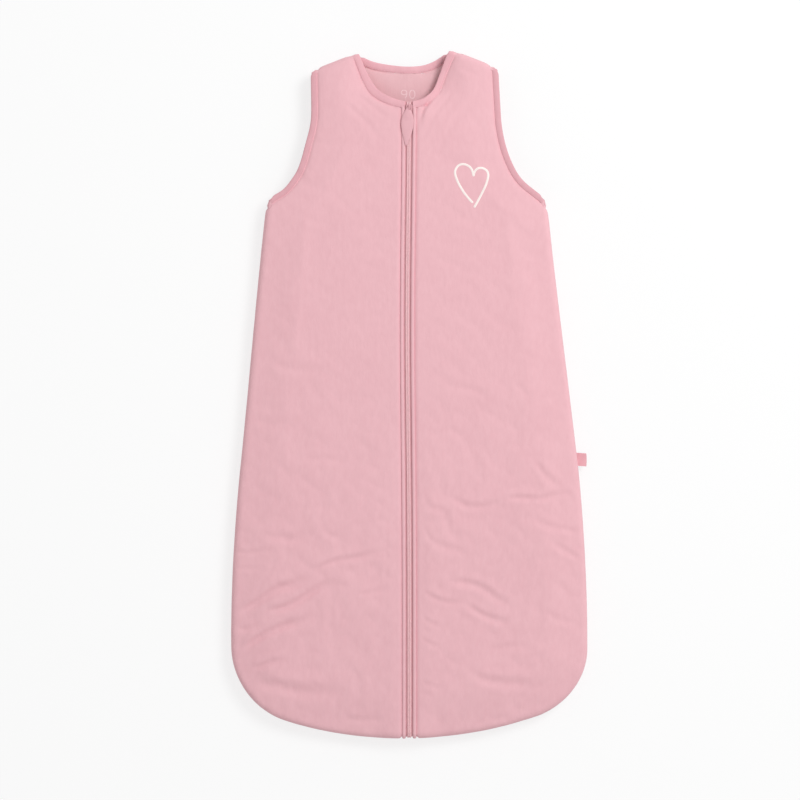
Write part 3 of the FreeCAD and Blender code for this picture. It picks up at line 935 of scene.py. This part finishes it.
def finish(name, colour, roughness, low=None, high=None, pattern=None, bumps=(), **sockets):
    """A new material, with the even values set on its surface shader.

    pattern adds its nodes to the tree. It returns the share between the colours low and high, and then a
    height for each of bumps, which gives that bump's strength and its depth in metres.
    """
    material = bpy.data.materials.new(name)
    material.use_nodes = True
    tree = material.node_tree
    shader = tree.nodes["Principled BSDF"]
    even = {"Base Color": linear(colour), "Roughness": roughness}
    even.update({key.replace("_", " "): value for key, value in sockets.items()})
    for key, value in even.items():
        shader.inputs[key].default_value = value
    share, *heights = pattern(tree) if pattern else [None]
    if pattern:
        mixed = add(tree, "Mix", {"Factor": share, "A": linear(low), "B": linear(high)}, data_type="RGBA")
        tree.links.new(mixed.outputs["Result"], shader.inputs["Base Color"])
    under = {}
    for height, (strength, depth) in zip(heights, bumps):
        relief = add(tree, "Bump", {"Height": height, "Strength": strength, "Distance": depth, **under})
        under = {"Normal": relief.outputs[0]}
        tree.links.new(relief.outputs[0], shader.inputs["Normal"])
    return material


def wave_scale(period):
    """Scale of a Wave texture for bands of this period: millimetres on the cloth, metres elsewhere."""
    return 2 * math.pi / (20 * period)


def jersey(name, colour, shade, wale_mm, slub):
    """Cotton single jersey, piece-dyed: matt with a little bloom, fine wales along its length.

    The eye sees a soft even colour, slightly mottled where the yarn is thicker, and crinkled after washing.
    """
    def pattern(tree):
        cloth = add(tree, "Attribute", attribute_name="cloth").outputs["Vector"]
        # Slub: thicker yarn makes streaks about 5 mm wide and 12 mm long
        streaks = add(tree, "Mapping", {"Vector": cloth, "Scale": (1 / 5, 1 / 12, 1 / 10)}).outputs[0]
        yarn = add(tree, "TexNoise", {"Vector": streaks, "Scale": 1.0, "Detail": 3.0, "Roughness": 0.55})
        patches = add(tree, "TexNoise", {"Vector": cloth, "Scale": 1 / 60, "Detail": 2.0})
        blotch = add(tree, "Math", {0: patches.outputs[0], 1: 0.5, 2: -0.25}, operation="MULTIPLY_ADD")
        both = add(tree, "Math", {0: yarn.outputs[0], 1: blotch.outputs[0]}, operation="ADD")
        mottle = {"Value": both.outputs[0], "From Min": 0.3, "From Max": 0.72, "To Min": 0.0, "To Max": slub}
        # Knit: real wales are about 0.7 mm apart, drawn coarser so that they show
        rows = []
        for axis, period in (("X", wale_mm), ("Y", wale_mm * 0.8)):
            wave = {"Vector": cloth, "Scale": wave_scale(period), "Distortion": 0.6, "Detail": 1.0}
            made = add(tree, "TexWave", {**wave, "Detail Scale": 2.0}, bands_direction=axis)
            rows.append(made.outputs["Fac"])
        loops = add(tree, "Math", {0: rows[1], 1: 0.35, 2: rows[0]}, operation="MULTIPLY_ADD")
        crinkle = {"Vector": streaks, "Scale": 0.55, "Detail": 4.0, "Roughness": 0.6}
        nodes = (add(tree, "MapRange", mottle), loops, add(tree, "TexNoise", crinkle))
        return [node.outputs[0] for node in nodes]

    return finish(
        name, colour, 0.86, colour, shade, pattern, [(0.35, 0.0001), (0.5, 0.0009)],
        Sheen_Weight=0.22, Sheen_Roughness=0.45, Sheen_Tint=linear("#FFE9EC"), Specular_IOR_Level=0.25,
    )


def woven_tape(name, colour, shade, thread_mm, sheen=0.1):
    """Polyester tape in a tight plain weave: smooth and flat, with fine lengthwise threads."""
    def pattern(tree):
        cloth = add(tree, "Attribute", attribute_name="cloth").outputs["Vector"]
        # Real threads are about 0.25 mm apart, drawn coarser so that they show
        wave = {"Vector": cloth, "Scale": wave_scale(thread_mm)}
        warp, weft = [add(tree, "TexWave", wave, bands_direction=axis).outputs["Fac"] for axis in "XY"]
        weave = add(tree, "Math", {0: warp, 1: weft}, operation="MULTIPLY").outputs[0]
        return weave, weave

    return finish(name, colour, 0.6, shade, colour, pattern, [(0.5, 0.00015)], Sheen_Weight=sheen)


def thread(name, colour, shade, sheen):
    """Twisted polyester thread: a soft silky gloss, its twist seen as slanted fine lines."""
    def pattern(tree):
        place = add(tree, "TexCoord").outputs["Object"]
        # Real twist is about 0.4 mm long, drawn as 0.8 mm
        wave = {"Vector": place, "Scale": wave_scale(0.0008), "Distortion": 1.5}
        twist = add(tree, "TexWave", wave, bands_direction="DIAGONAL").outputs["Fac"]
        return twist, twist

    return finish(name, colour, 0.5, shade, colour, pattern, [(0.3, 0.0001)], Sheen_Weight=sheen)


def mottled(*noises):
    """A pattern of noises, each given by its sockets: the first mixes the colours, the last is the height."""
    def pattern(tree):
        place = add(tree, "TexCoord").outputs["Object"]
        made = [add(tree, "TexNoise", {"Vector": place, **noise}).outputs[0] for noise in noises]
        return made[0], made[-1]

    return pattern


def fibre_fill():
    """Carded polyester wadding: white, dull and hairy, made of loose layers about 1.5 mm thick."""
    hairs = {"Scale": 1 / 0.0015, "Detail": 6.0, "Roughness": 0.7, "Distortion": 2.0}
    return finish(
        "polyester_wadding", "#F4F1EE", 0.95, "#E4DFDB", "#FBF9F7", mottled(hairs), [(0.8, 0.001)],
        Sheen_Weight=0.4,
    )


def enamelled_zinc(name, colour):
    """Die-cast zinc with sprayed enamel: smooth gloss, slightly uneven, worn a little darker in spots."""
    wear = {"Scale": 1 / 0.004, "Detail": 4.0}
    # Orange peel of the sprayed coat, about 0.6 mm
    peel = {"Scale": 1 / 0.0006, "Detail": 2.0}
    return finish(
        name, colour, 0.32, colour, "#C98F99", mottled(wear, peel), [(0.15, 0.00005)],
        Coat_Weight=0.3, Coat_Roughness=0.15,
    )


def coil_monofilament():
    """Dyed polyester monofilament: even and smooth, the dye a little uneven over 12 mm."""
    dye = mottled({"Scale": 1 / 0.012, "Detail": 3.0})
    return finish("coil_monofilament", "#F6CDD1", 0.38, "#F1C4C9", "#F9D2D6", dye)


def printing_ink():
    """Soft water-based print on the lining: matt, a shade paler than the cloth, which shows through."""
    cover = mottled({"Scale": 1 / 0.001, "Detail": 3.0})
    return finish("print_ink", "#F6D3D7", 0.8, "#F0C6CB", "#FADDE0", cover)


shell_jersey = jersey("shell_jersey", "#ECBAC1", "#E3AEB6", 1.5, 0.4)
lining_jersey = jersey("lining_jersey", "#EABCC1", "#E3B1B7", 1.7, 0.4)
# The armhole bands are the neck band's cloth, painted a shade darker: painted shade for the shade that falls
# on their sloping edges
arm_binding_painted_shade = jersey("arm_binding_painted_shade", "#E1ABB3", "#D7A0A8", 1.2, 0.5)
neck_jersey = jersey("neck_binding_jersey", "#ECB5BD", "#E3AAB3", 1.2, 0.5)
leaf_jersey = jersey("leaf_jersey", "#E6B4BB", "#DDA8B0", 1.2, 0.5)
zip_tape = woven_tape("zip_tape_weave", "#E8B2B9", "#DEA6AD", 0.6)
label_tape = woven_tape("label_satin", "#E9AFB7", "#E1A3AC", 0.7, 0.3)
coil_nylon = coil_monofilament()
slider_enamel = enamelled_zinc("slider_enamel", "#DDA6AC")
stop_enamel = enamelled_zinc("stop_enamel", "#D79DA5")
pink_thread = thread("pink_thread", "#E6A9B4", "#D897A3", 0.1)
cord_thread = thread("cord_thread", "#F3C9CD", "#EBBDC2", 0.1)
heart_thread = thread("heart_thread", "#FFF6F2", "#F3E4DE", 0.3)
wadding_fibre = fibre_fill()
print_ink = printing_ink()


# ---------------------------------------------------------------- panels

def from_x(line, x):
    """The part of a line beyond x, starting exactly there. The line starts at a smaller x."""
    index = int(np.argmax(line[:, 0] > x))
    a, b = line[index - 1], line[index]
    start = a + (b - a) * (x - a[0]) / (b[0] - a[0])
    return np.concatenate([[start], line[index:]])


def front_outline(zip_x):
    """Seams and edges of the right front half, cut back a little inside its bindings, cloth on their left."""
    arm = (armhole_line + armhole_in * binding_skin)[::-1]
    neck = from_x(neck_line + neck_in * binding_skin, zip_x)[::-1]
    side = from_x(right_rim_seam, zip_x)[:-1]
    side = np.concatenate([side, arm[:1]])
    shoulder = straight(arm[-1], neck[0], seam_spacing)
    edge = straight(neck[-1], side[0], edge_spacing)
    return [side, shoulder], [arm, neck, edge]


def loop_of(*lines):
    """Closed loop from lines end to end."""
    points = joined(*lines)
    return points[:-1]


def front_layer(name, side, zip_x, spacing, upper, lower, material):
    """One layer of a front half. upper and lower give its depths at points of the right half."""
    (seam, shoulder), (arm, neck, edge) = front_outline(zip_x)
    loop = loop_of(seam, arm, shoulder, neck, edge)
    inner = panel_points([seam, shoulder], [arm, neck, edge], spacing, roll_spacing)
    points, triangles, ring = triangulated(loop, inner)
    depths = upper(points), lower(points)
    return closed_sheet(name, points * np.array([side, 1]), triangles, ring, True, *depths, material)


def shell_face(points):
    """Depth of the shell, which is drawn down beside its topstitching."""
    return stitch_dip * np.exp(-((points[:, 0] - shell_edge) / stitch_dip_run) ** 2)


def shell_inner_face(points):
    return shell_face(points) + shell_depth


def lining_face(points):
    """Depth of the lining, which comes up to the tape beside the zip."""
    up = tape_depth + tape_thickness + 0.15
    return up + (lining_top - up) * smooth((points[:, 0] - shell_edge - 0.4) / 6.5)


def lining_inner_face(points):
    return lining_face(points) + lining_bottom - lining_top


edge_press = (10, 9)         # the wadding is pressed up to here from a bound edge, then swells within this
pressed_outer = 0.7          # its outer face lies this much deeper where it is pressed
pressed_inner = 2.6          # and its inner face this much higher
thinnest_wadding = 0.3


def wadding_thinning(points):
    """0 where the wadding is full, 1 where it is pressed, beside bound edges and in the strip that rolls."""
    edge = 1 - smooth((clearance(points, [armhole_line, neck_line]) - edge_press[0]) / edge_press[1])
    return np.maximum(edge, rolled(points))


def wadding_faces():
    """Depths of the wadding's outer and inner face."""
    def outer(points):
        return wadding_top + shell_face(points) + pressed_outer * wadding_thinning(points)

    def inner(points):
        full = np.minimum(wadding_bottom, lining_face(points) - 0.8)
        pressed = full - pressed_inner * wadding_thinning(points)
        return np.maximum(pressed, outer(points) + thinnest_wadding)

    return outer, inner


def back_layer(name, spacing, upper, lower, material):
    """One layer of the back."""
    arm = (armhole_line + armhole_in * binding_skin)[::-1]
    neck = (back_neck_line + half_back_neck_in * binding_skin)[::-1]
    seam = np.concatenate([right_rim_seam[:-1], arm[:1]])
    shoulder = straight(arm[-1], neck[0], seam_spacing)
    half = [seam, arm, shoulder, neck]
    other = [mirrored(line)[::-1] for line in reversed(half)]
    seams = [joined(other[3], seam), shoulder, other[1]]
    edges = [arm, joined(neck, other[0]), other[2]]
    loop = loop_of(seams[0], arm, shoulder, edges[1], other[1], other[2])
    points, triangles, ring = triangulated(loop, panel_points(seams, edges, spacing))
    return closed_sheet(name, points, triangles, ring, False, upper, lower, material)


# ---------------------------------------------------------------- pieces that move

def side_name(side):
    """Left and right as seen from the front."""
    return "right" if side > 0 else "left"


def fold(piece):
    """Bakes the piece's placement into its mesh."""
    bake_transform(piece)


def stand_for(piece, slot, *nodes):
    """The piece replaces nodes of the frame, which are hidden. slot is not used."""
    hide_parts(*nodes)


# ---------------------------------------------------------------- zip

def arc_at(low, radius, x):
    """Height at x of an arc whose lowest point lies in the middle of the bag."""
    return low + radius - np.sqrt(radius ** 2 - np.asarray(x, float) ** 2)


def hem_at(x):
    """Height of the hem's outline at a distance from the zip."""
    return arc_at(hem_y, hem_radius, x)


def neck_at(x):
    """Height of the front neckline near the zip."""
    return arc_at(neck_low_y, neck_radius, x)


def lengthwise(profile, side, step):
    """Sections of a profile of (x, depth) along the zip, from the hem to the neckline."""
    profile = np.array(profile, float)
    x, depth = profile[:, 0], profile[:, 1]
    foot, top = hem_at(x) + foot_gap, neck_at(x) - 0.2
    length = neck_low_y - hem_y
    above = np.linspace(rim_rows[-1], length, math.ceil((length - rim_rows[-1]) / step) + 1)
    share = (np.concatenate([[0], rim_rows[:-1], above]) / length)[:, None]
    ys = foot * (1 - share) + top * share
    return np.stack([np.broadcast_to(x * side, ys.shape), ys, np.broadcast_to(depth, ys.shape)], axis=2)


def turned_edge(side):
    """The shell's edge, turned under beside the zip: a soft ridge, topstitched at its outer side."""
    under = tape_depth - 0.04
    profile = [
        (4.9, under), (4.5, 1.7), (4.55, 1.0), (4.95, 0.3), (5.8, -0.25), (6.9, -0.4), (8.1, -0.2),
        (8.9, 0.4), (shell_edge, 1.8), (shell_edge, 2.3), (12.5, 2.3), (12.5, under),
    ]
    name = f"{side_name(side)}_turned_edge"
    piece = swept(f"{name}_fold", lengthwise(profile, side, 3.0), shell_jersey)
    stand_for(piece, "shell_cotton", name)
    fold(piece)


def tape(side):
    """The zip's tape, to which the coil and the turned edge are sewn."""
    bottom = tape_depth + tape_thickness
    profile = [(tape_inner, tape_depth), (tape_outer, tape_depth), (tape_outer, bottom), (tape_inner, bottom)]
    name = f"{side_name(side)}_zip_tape"
    piece = swept(f"{name}_weave", lengthwise(profile, side, 6.0), zip_tape)
    stand_for(piece, "zip_tape", name)
    fold(piece)


def coil(side):
    """One side of the zip's coil: a flattened spring whose heads hook between those of the other side."""
    pitch, steps, sides = 1.5, 10, 5
    wire = 0.3
    centre_x, centre_depth = 1.1, 1.1
    reach, height = 1.5, 0.7
    start, end = hem_y + 3, neck_low_y - 2
    turns = math.floor((end - start) / pitch)
    angle = np.linspace(0, 2 * math.pi * turns, turns * steps + 1)
    phase = 0 if side > 0 else math.pi
    ring = np.linspace(0, 2 * math.pi, sides, endpoint=False)
    out_x = -np.cos(angle + phase)
    out_depth = -np.sin(angle + phase) * side
    x = centre_x + reach * out_x
    depth = centre_depth + height * out_depth
    y = start + angle / (2 * math.pi) * pitch
    # The wire's section turns with the loop: one way outwards, one way along the zip
    normal = unit(np.stack([out_x / reach, out_depth / height], axis=1))
    flat = np.zeros((len(angle), sides, 3))
    for k, a in enumerate(ring):
        flat[:, k, 0] = (x + wire * math.cos(a) * normal[:, 0]) * side
        flat[:, k, 1] = y + wire * math.sin(a)
        flat[:, k, 2] = depth + wire * math.cos(a) * normal[:, 1]
    piece = swept(f"{side_name(side)}_zip_coil", flat, coil_nylon, sharp_deg=80)
    stand_for(piece, "zip_teeth", f"{side_name(side)}_zip_teeth")
    fold(piece)


def core_cord(side):
    """Cord inside the coil, through which the coil is sewn to the tape."""
    angles = np.radians(np.arange(0, 360, 30))
    profile = np.stack([1.35 + 1.05 * np.cos(angles), 1.2 + 0.5 * np.sin(angles)], axis=1)
    piece = swept(f"{side_name(side)}_zip_core_cord", lengthwise(profile, side, 4.0), cord_thread)
    fold(piece)


def stitches(name, rows, material, place=on_bag, pitch=3.2, length=2.3, width=0.55, height=0.22):
    """Rows of lockstitches. A row is a line of the plan and its depth."""
    q = length / 4
    shape = np.array([
        (-2 * q, 0, -0.1), (-q, -width / 2, 0), (-q, 0, height), (-q, width / 2, 0), (-q, 0, -0.2),
        (q, -width / 2, 0), (q, 0, height), (q, width / 2, 0), (q, 0, -0.2), (2 * q, 0, -0.1),
    ])
    sides = [(0, 1 + k, 1 + (k + 1) % 4) for k in range(4)]
    sides += [(1 + k, 5 + k, 5 + (k + 1) % 4, 1 + (k + 1) % 4) for k in range(4)]
    sides += [(5 + k, 9, 5 + (k + 1) % 4) for k in range(4)]
    flat, faces = [], []
    for line, depth in rows:
        points = respaced(line, pitch)
        middles = (points[:-1] + points[1:]) / 2
        ahead = unit(np.diff(points, axis=0))
        across = left_of(ahead)
        for middle, a, b in zip(middles, ahead, across):
            first = len(flat) * len(shape)
            plan = middle + shape[:, :1] * a + shape[:, 1:2] * b
            flat.append(np.column_stack([plan, depth - shape[:, 2]]))
            faces += [tuple(first + i for i in face) for face in sides]
    cloth = np.concatenate(flat)
    return make_object(name, place(cloth), faces, material, cloth, 80)


def zip_stitching(side):
    """Topstitching that holds the turned edge and the shell to the tape."""
    x = shell_edge + 0.1
    line = np.array([(x * side, hem_at(x) + 2), (x * side, neck_at(x) - 9)])
    line = respaced(line, 20)
    piece = stitches(f"{side_name(side)}_zip_topstitching", [(line, 1.65)], pink_thread)
    fold(piece)
    return piece


# ---------------------------------------------------------------- bindings and stitching

def band_profile(width):
    """Section of a folded band round a bound edge, as (distance from the edge, depth)."""
    stitch = width - stitch_in
    outer = [
        (width, 0.1), (width - 0.25, -0.38), (stitch + 0.5, -0.42), (stitch, -0.1), (stitch - 0.6, -0.48),
        (width * 0.5, -0.62), (1.6, -0.5), (0.3, -0.15), (-0.5, 0.9), (-0.75, 2.4),
    ]
    inner = [
        (width, 0.12), (1.9, 0.12), (0.75, 0.6), (0.3, 1.6), (0.25, 2.8),
    ]
    far = lining_bottom
    loop = outer + [(w, far - depth) for w, depth in reversed(outer)]
    return np.array(loop + [(w, far - depth) for w, depth in inner] + inner[::-1])


def band_sections(line, directions, width, side):
    """Sections of a band along an edge."""
    profile = band_profile(width)
    plan = line[:, None, :] + directions[:, None, :] * profile[None, :, :1]
    depth = np.broadcast_to(profile[:, 1], plan.shape[:2])
    flat = np.concatenate([plan, depth[:, :, None]], axis=2)
    return flat * np.array([side, 1, 1])


def neck_band(side):
    """Binding of one half of the front neckline."""
    name = f"{side_name(side)}_neck"
    piece = swept(f"{name}_band", band_sections(neck_line, neck_in, neck_band_width, side), neck_jersey)
    stand_for(piece, "binding", f"{name}_binding")
    fold(piece)
    row = (neck_line + neck_in * (neck_band_width - stitch_in))[2:-2] * np.array([side, 1])
    fold(stitches(f"{name}_stitching", [(row, stitch_depth)], pink_thread))


def on_back(flat):
    """Places an array of (x, y, depth) on the back of the bag."""
    return on_bag(flat, front=False)


def back_neck_band():
    """Binding of the back neckline."""
    right, left = [band_sections(back_neck_line, half_back_neck_in, neck_band_width, s) for s in (1, -1)]
    piece = swept("back_neck_band", joined(left[::-1], right), neck_jersey, on_back)
    stand_for(piece, "binding", "back_neck_binding")
    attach(piece, "bag")
    half = back_neck_line + half_back_neck_in * (neck_band_width - stitch_in)
    row = joined(mirrored(half)[::-1], half)[2:-2]
    rows = [(row, stitch_depth), (row, lining_bottom + 0.3)]
    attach(stitches("back_neck_stitching", rows, pink_thread, on_back), "bag")


def armhole_band(side):
    """Binding of one armhole, a ring round its front and back."""
    flat = band_sections(armhole_line, armhole_in, arm_band_width, side)
    count = len(flat)

    def place(sections):
        return np.concatenate([on_bag(sections[:count]), on_back(sections[count:])])

    name = f"{side_name(side)}_armhole"
    ring = np.concatenate([flat, flat[::-1]])
    # Its cloth is darker than the neck band's by painted shade
    piece = swept(f"{name}_band", ring, arm_binding_painted_shade, place, closed=True)
    stand_for(piece, "binding", f"{name}_binding")
    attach(piece, "bag")
    row = (armhole_line + armhole_in * (arm_band_width - stitch_in))[2:-2] * np.array([side, 1])
    for face, put in (("front", on_bag), ("back", on_back)):
        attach(stitches(f"{name}_{face}_stitching", [(row, stitch_depth)], pink_thread, put), "bag")


# ---------------------------------------------------------------- small pieces

def satin_stroke(name, points, width, height, material, place=on_bag, base=0.0, thread_pitch=0.4):
    """A line of satin stitch: threads laid side by side across it over a raised core."""
    line = smooth_line(points, thread_pitch)
    across = left_of(unit(np.gradient(line, axis=0)))
    far = along(line)
    end_run = width * 0.45
    near_end = np.minimum(far, far[-1] - far)
    taper = np.sqrt(np.clip(1 - (1 - np.clip(near_end / end_run, 0, 1)) ** 2, 0.04, 1))
    ridge = 1 + 0.16 * (-1.0) ** np.arange(len(line))
    angles = np.radians([0, 25, 50, 75, 105, 130, 155, 180, 270])
    flat = np.zeros((len(line), len(angles), 3))
    for k, a in enumerate(angles):
        out = math.cos(a) * width / 2
        up = math.sin(a) * height
        flat[:, k, :2] = line + across * (out * taper)[:, None]
        flat[:, k, 2] = base - up * taper * (ridge if up > 0 else 0.5)
    return swept(name, flat, material, place, sharp_deg=80)


def heart():
    """Line heart embroidered on the chest: two strokes that meet in the notch and cross at the tip."""
    left = [
        (83.3, 287.4), (81.2, 295.2), (76.6, 300.4), (69.6, 302.6), (63.8, 300.8), (60.2, 296.0),
        (59.5, 290.0), (63.0, 279.6), (70.3, 266.8), (77.6, 257.6), (82.6, 252.4),
    ]
    right = [
        (83.0, 286.6), (84.9, 293.2), (88.9, 297.0), (95.0, 297.4), (100.4, 294.2), (102.4, 288.2),
        (100.2, 278.2), (96.0, 268.6), (90.4, 257.6), (84.0, 246.2),
    ]
    first = None
    for name, points in (("heart_left_stroke", left), ("heart_right_stroke", right)):
        flat = np.array(points) + np.array([settle_left, -2.8])
        piece = satin_stroke(name, flat, 3.1, 0.5, heart_thread, base=0.12)
        fold(piece)
        first = first or piece
    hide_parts("heart_embroidery")


def size_figures():
    """The size in centimetres printed inside the back neck: a plain 90."""
    middle = np.array([-1.0, neck_low_y + 12.5])
    angles = np.radians(np.linspace(90, 450, 19))
    ring = np.stack([np.cos(angles), np.sin(angles)], axis=1)
    nought = ring * np.array([3.2, 5.4]) + middle + np.array([5.2, 0])
    head = ring * np.array([3.2, 3.0]) + middle + np.array([-4.6, 2.4])
    tail = np.array([(-1.4, 2.2), (-1.6, -1.6), (-3.6, -5.4)]) + middle
    strokes = (("size_nine_head", head), ("size_nine_tail", tail), ("size_nought", nought))
    for name, points in strokes:
        piece = satin_stroke(name, points, 1.2, 0.1, print_ink, on_back, lining_bottom, 0.8)
        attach(piece, "bag")


def as_given(places):
    """Leaves an array of (x, y, z) where it is, for pieces that lie over the cloth or beside it."""
    return places


def leaf_places():
    """Stations along the cloth leaf, from the tab to the tip: place along the zip, middle, half width."""
    top, tip = cad("pull_leaf")[1][1] + leaf_over_tab, cad("pull_leaf")[0][1]
    share = np.linspace(0, 1, 30)
    y = top + (tip - top) * share
    known = [0, 0.04, 0.1, 0.2, 0.32, 0.45, 0.57, 0.7, 0.84, 0.94, 1.0]
    widths = [1.2, 2.8, 4.6, 6.6, 8.0, 8.0, 7.2, 5.6, 3.5, 1.7, 0.4]
    middles = [-1.6, -1.6, -1.6, -1.9, -2.2, -2.5, -2.7, -3.0, -3.5, -4.0, -4.3]
    return y, np.interp(share, known, middles), np.interp(share, known, widths)


def leaf_height(share_across, half_width, rise):
    """How far the leaf's upper face stands over its lower edge."""
    bulge = np.clip(1 - np.abs(share_across) ** 2.4, 0, 1) ** 0.7
    return 0.45 + (0.75 + rise) * bulge * np.minimum(half_width / 4, 1)


def pull_leaf():
    """Leaf of doubled cloth sewn round the pull tab, with a row of stitches inside its edge."""
    y, middle, half = leaf_places()
    base = cad("pull_leaf")[0][2]
    over_tab = 0.75 * smooth((y - (cad("pull_tab")[0][1] - 4)) / 6)
    across = np.concatenate([np.linspace(-1, 1, 13), np.linspace(0.97, -0.97, 9)])
    sections = np.zeros((len(y), len(across), 3))
    for k, b in enumerate(across):
        upper = k < 13
        sections[:, k, 0] = middle + half * b
        sections[:, k, 1] = y
        lift = leaf_height(b, half, over_tab) if upper else 0.06 * np.ones(len(y))
        sections[:, k, 2] = base + lift + 0.35 * np.sin(math.pi * (y - y[-1]) / (y[0] - y[-1]))
    piece = swept("pull_leaf_cloth", sections, leaf_jersey, as_given)
    stand_for(piece, "leaf_cotton", "pull_leaf")
    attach(piece, "puller")


def side_label():
    """Short loop of plain tape in the side seam, folded at its outer end and a little askew."""
    low, high = cad("side_label")
    middle, end, root = rim_z, high[0], low[0] - 4.0
    outer = [(root, 0.75), (end - 3.0, 0.95), (end - 0.7, 0.75), (end, 0.0)]
    inner = [(root, 0.25), (end - 3.4, 0.4), (end - 1.4, 0.25), (end - 0.9, 0.0)]
    loop = outer + [(x, -z) for x, z in outer[-2::-1]] + [(x, -z) for x, z in inner[:-1]] + inner[::-1]
    loop = np.array(loop)
    ys = np.linspace(low[1], high[1], 9)
    sections = np.zeros((len(ys), len(loop), 3))
    for i, y in enumerate(ys):
        out = (loop[:, 0] - root) / (end - root)
        sections[i, :, 0] = loop[:, 0] - 0.5 * ((y - ys.mean()) / 8.5) ** 2 * out
        sections[i, :, 1] = y - 1.2 * out + 0.6
        sections[i, :, 2] = middle + loop[:, 1] + 0.35 * math.sin(y / 3.1) * out
    piece = swept("side_label_loop", sections, label_tape, as_given)
    stand_for(piece, "label_tape", "side_label")
    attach(piece, "bag")


# ---------------------------------------------------------------- the bag

# How each layer's pieces are named, what they are made of, and the slot of the frame's own
LAYERS = {
    "shell": ("shell_cloth", shell_jersey, "shell_cotton"),
    "wadding": ("wadding_fill", wadding_fibre, "wadding"),
    "lining": ("lining_cloth", lining_jersey, "lining_cotton"),
}


def front_half(side):
    """Shell, wadding and lining of one front half."""
    half = side_name(side)
    faces = {
        "shell": (shell_edge + 0.05, shell_face, shell_inner_face),
        "wadding": (wadding_inset, *wadding_faces()),
        "lining": (shell_edge + 0.4, lining_face, lining_inner_face),
    }
    pieces = []
    for layer, (zip_x, upper, lower) in faces.items():
        name, material, slot = LAYERS[layer]
        name = f"front_{half}_{name}"
        piece = front_layer(name, side, zip_x, front_spacing[layer], upper, lower, material)
        stand_for(piece, slot, f"front_{half}_{layer}", f"{half}_flap_{layer}")
        pieces.append(piece)
    for piece in pieces:
        fold(piece)


def back():
    """Shell, wadding and lining of the back."""
    depths = {
        "shell": (0.0, shell_depth),
        "wadding": (wadding_top, back_wadding_bottom),
        "lining": (lining_top, lining_bottom),
    }
    for layer, (upper, lower) in depths.items():
        name, material, slot = LAYERS[layer]
        piece = back_layer(f"back_{name}", back_spacing[layer], upper, lower, material)
        stand_for(piece, slot, f"back_{layer}")
        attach(piece, "bag")


def finish_hardware():
    """The slider, its tab and the stops keep the frame's own shape and get their enamel."""
    finishes = {
        "zip_slider": slider_enamel, "pull_tab": slider_enamel, "left_top_stop": stop_enamel,
        "right_top_stop": stop_enamel, "bottom_stop": stop_enamel,
    }
    for node, material in finishes.items():
        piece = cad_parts[node]
        if not piece.material_slots:
            piece.data.materials.append(material)
        for place in piece.material_slots:
            place.material = material


# ---------------------------------------------------------------- floor, light and camera

def seen_directly(tree):
    """1 for rays from the camera and those that gloss and glass pass on, otherwise 0."""
    path = add(tree, "LightPath").outputs
    seen = add(tree, "Math", {0: path["Is Camera Ray"], 1: path["Is Glossy Ray"]}, operation="MAXIMUM")
    through = {0: seen.outputs[0], 1: path["Is Transmission Ray"]}
    return add(tree, "Math", through, operation="MAXIMUM").outputs[0]


def floor_finish():
    """Matt white paper that the camera sees as white, with the object's shadow left on it."""
    material = finish("white_paper", "#F7F7F7", 0.9)
    tree = material.node_tree
    white = add(tree, "Emission", {"Color": (1, 1, 1, 1), "Strength": 1.0})
    share = add(tree, "Math", {0: seen_directly(tree), 1: paper_white}, operation="MULTIPLY")
    matt = tree.nodes["Principled BSDF"].outputs[0]
    mixed = add(tree, "MixShader", {0: share.outputs[0], 1: matt, 2: white.outputs[0]})
    tree.links.new(mixed.outputs[0], tree.nodes["Material Output"].inputs["Surface"])
    return material


def make_floor():
    mesh = bpy.data.meshes.new("floor")
    corners = [(-1, -1, 0), (1, -1, 0), (1, 1, 0), (-1, 1, 0)]
    mesh.from_pydata((np.array(corners) * floor_half).tolist(), [], [(0, 1, 2, 3)])
    mesh.materials.append(floor_finish())
    floor = placed("floor", mesh)
    floor.location.z = -0.0005


def make_light():
    """Even light from all round and a soft lamp from the upper right, together 1 on a level face."""
    world = bpy.data.worlds.new("studio")
    bpy.context.scene.world = world
    world.use_nodes = True
    tree = world.node_tree
    strength = add(tree, "MapRange", {"Value": seen_directly(tree), "To Min": fill_light, "To Max": 1.0})
    background = tree.nodes["Background"]
    background.inputs["Color"].default_value = (1, 1, 1, 1)
    tree.links.new(strength.outputs[0], background.inputs["Strength"])
    place = Vector(key_place)
    lamp = bpy.data.lights.new("key", "AREA")
    lamp.size = key_size
    # Power that gives a level face under the lamp's middle the share which the fill leaves
    lamp.energy = (1 - fill_light) * math.pi ** 2 * place.length_squared / (place.z / place.length)
    key = placed("key", lamp)
    key.location = place
    key.rotation_mode = "QUATERNION"
    key.rotation_quaternion = place.to_track_quat("Z", "Y")


def make_camera():
    """Straight down on the bag, from a distance at which it nearly fills the height of the view."""
    data = bpy.data.cameras.new("camera")
    data.lens = 100
    data.sensor_width = 36
    camera = placed("camera", data)
    distance = view_width * data.lens / data.sensor_width
    camera.location = Vector((*view_centre, seam_z + distance)) * MM
    bpy.context.scene.camera = camera


bpy.context.scene.view_settings.view_transform = "Standard"
make_camera()
make_light()
make_floor()
crease_front()
back()
back_neck_band()
for each_side in (1, -1):
    front_half(each_side)
    turned_edge(each_side)
    tape(each_side)
    coil(each_side)
    core_cord(each_side)
    zip_stitching(each_side)
    neck_band(each_side)
    armhole_band(each_side)
heart()
size_figures()
pull_leaf()
side_label()
finish_hardware()
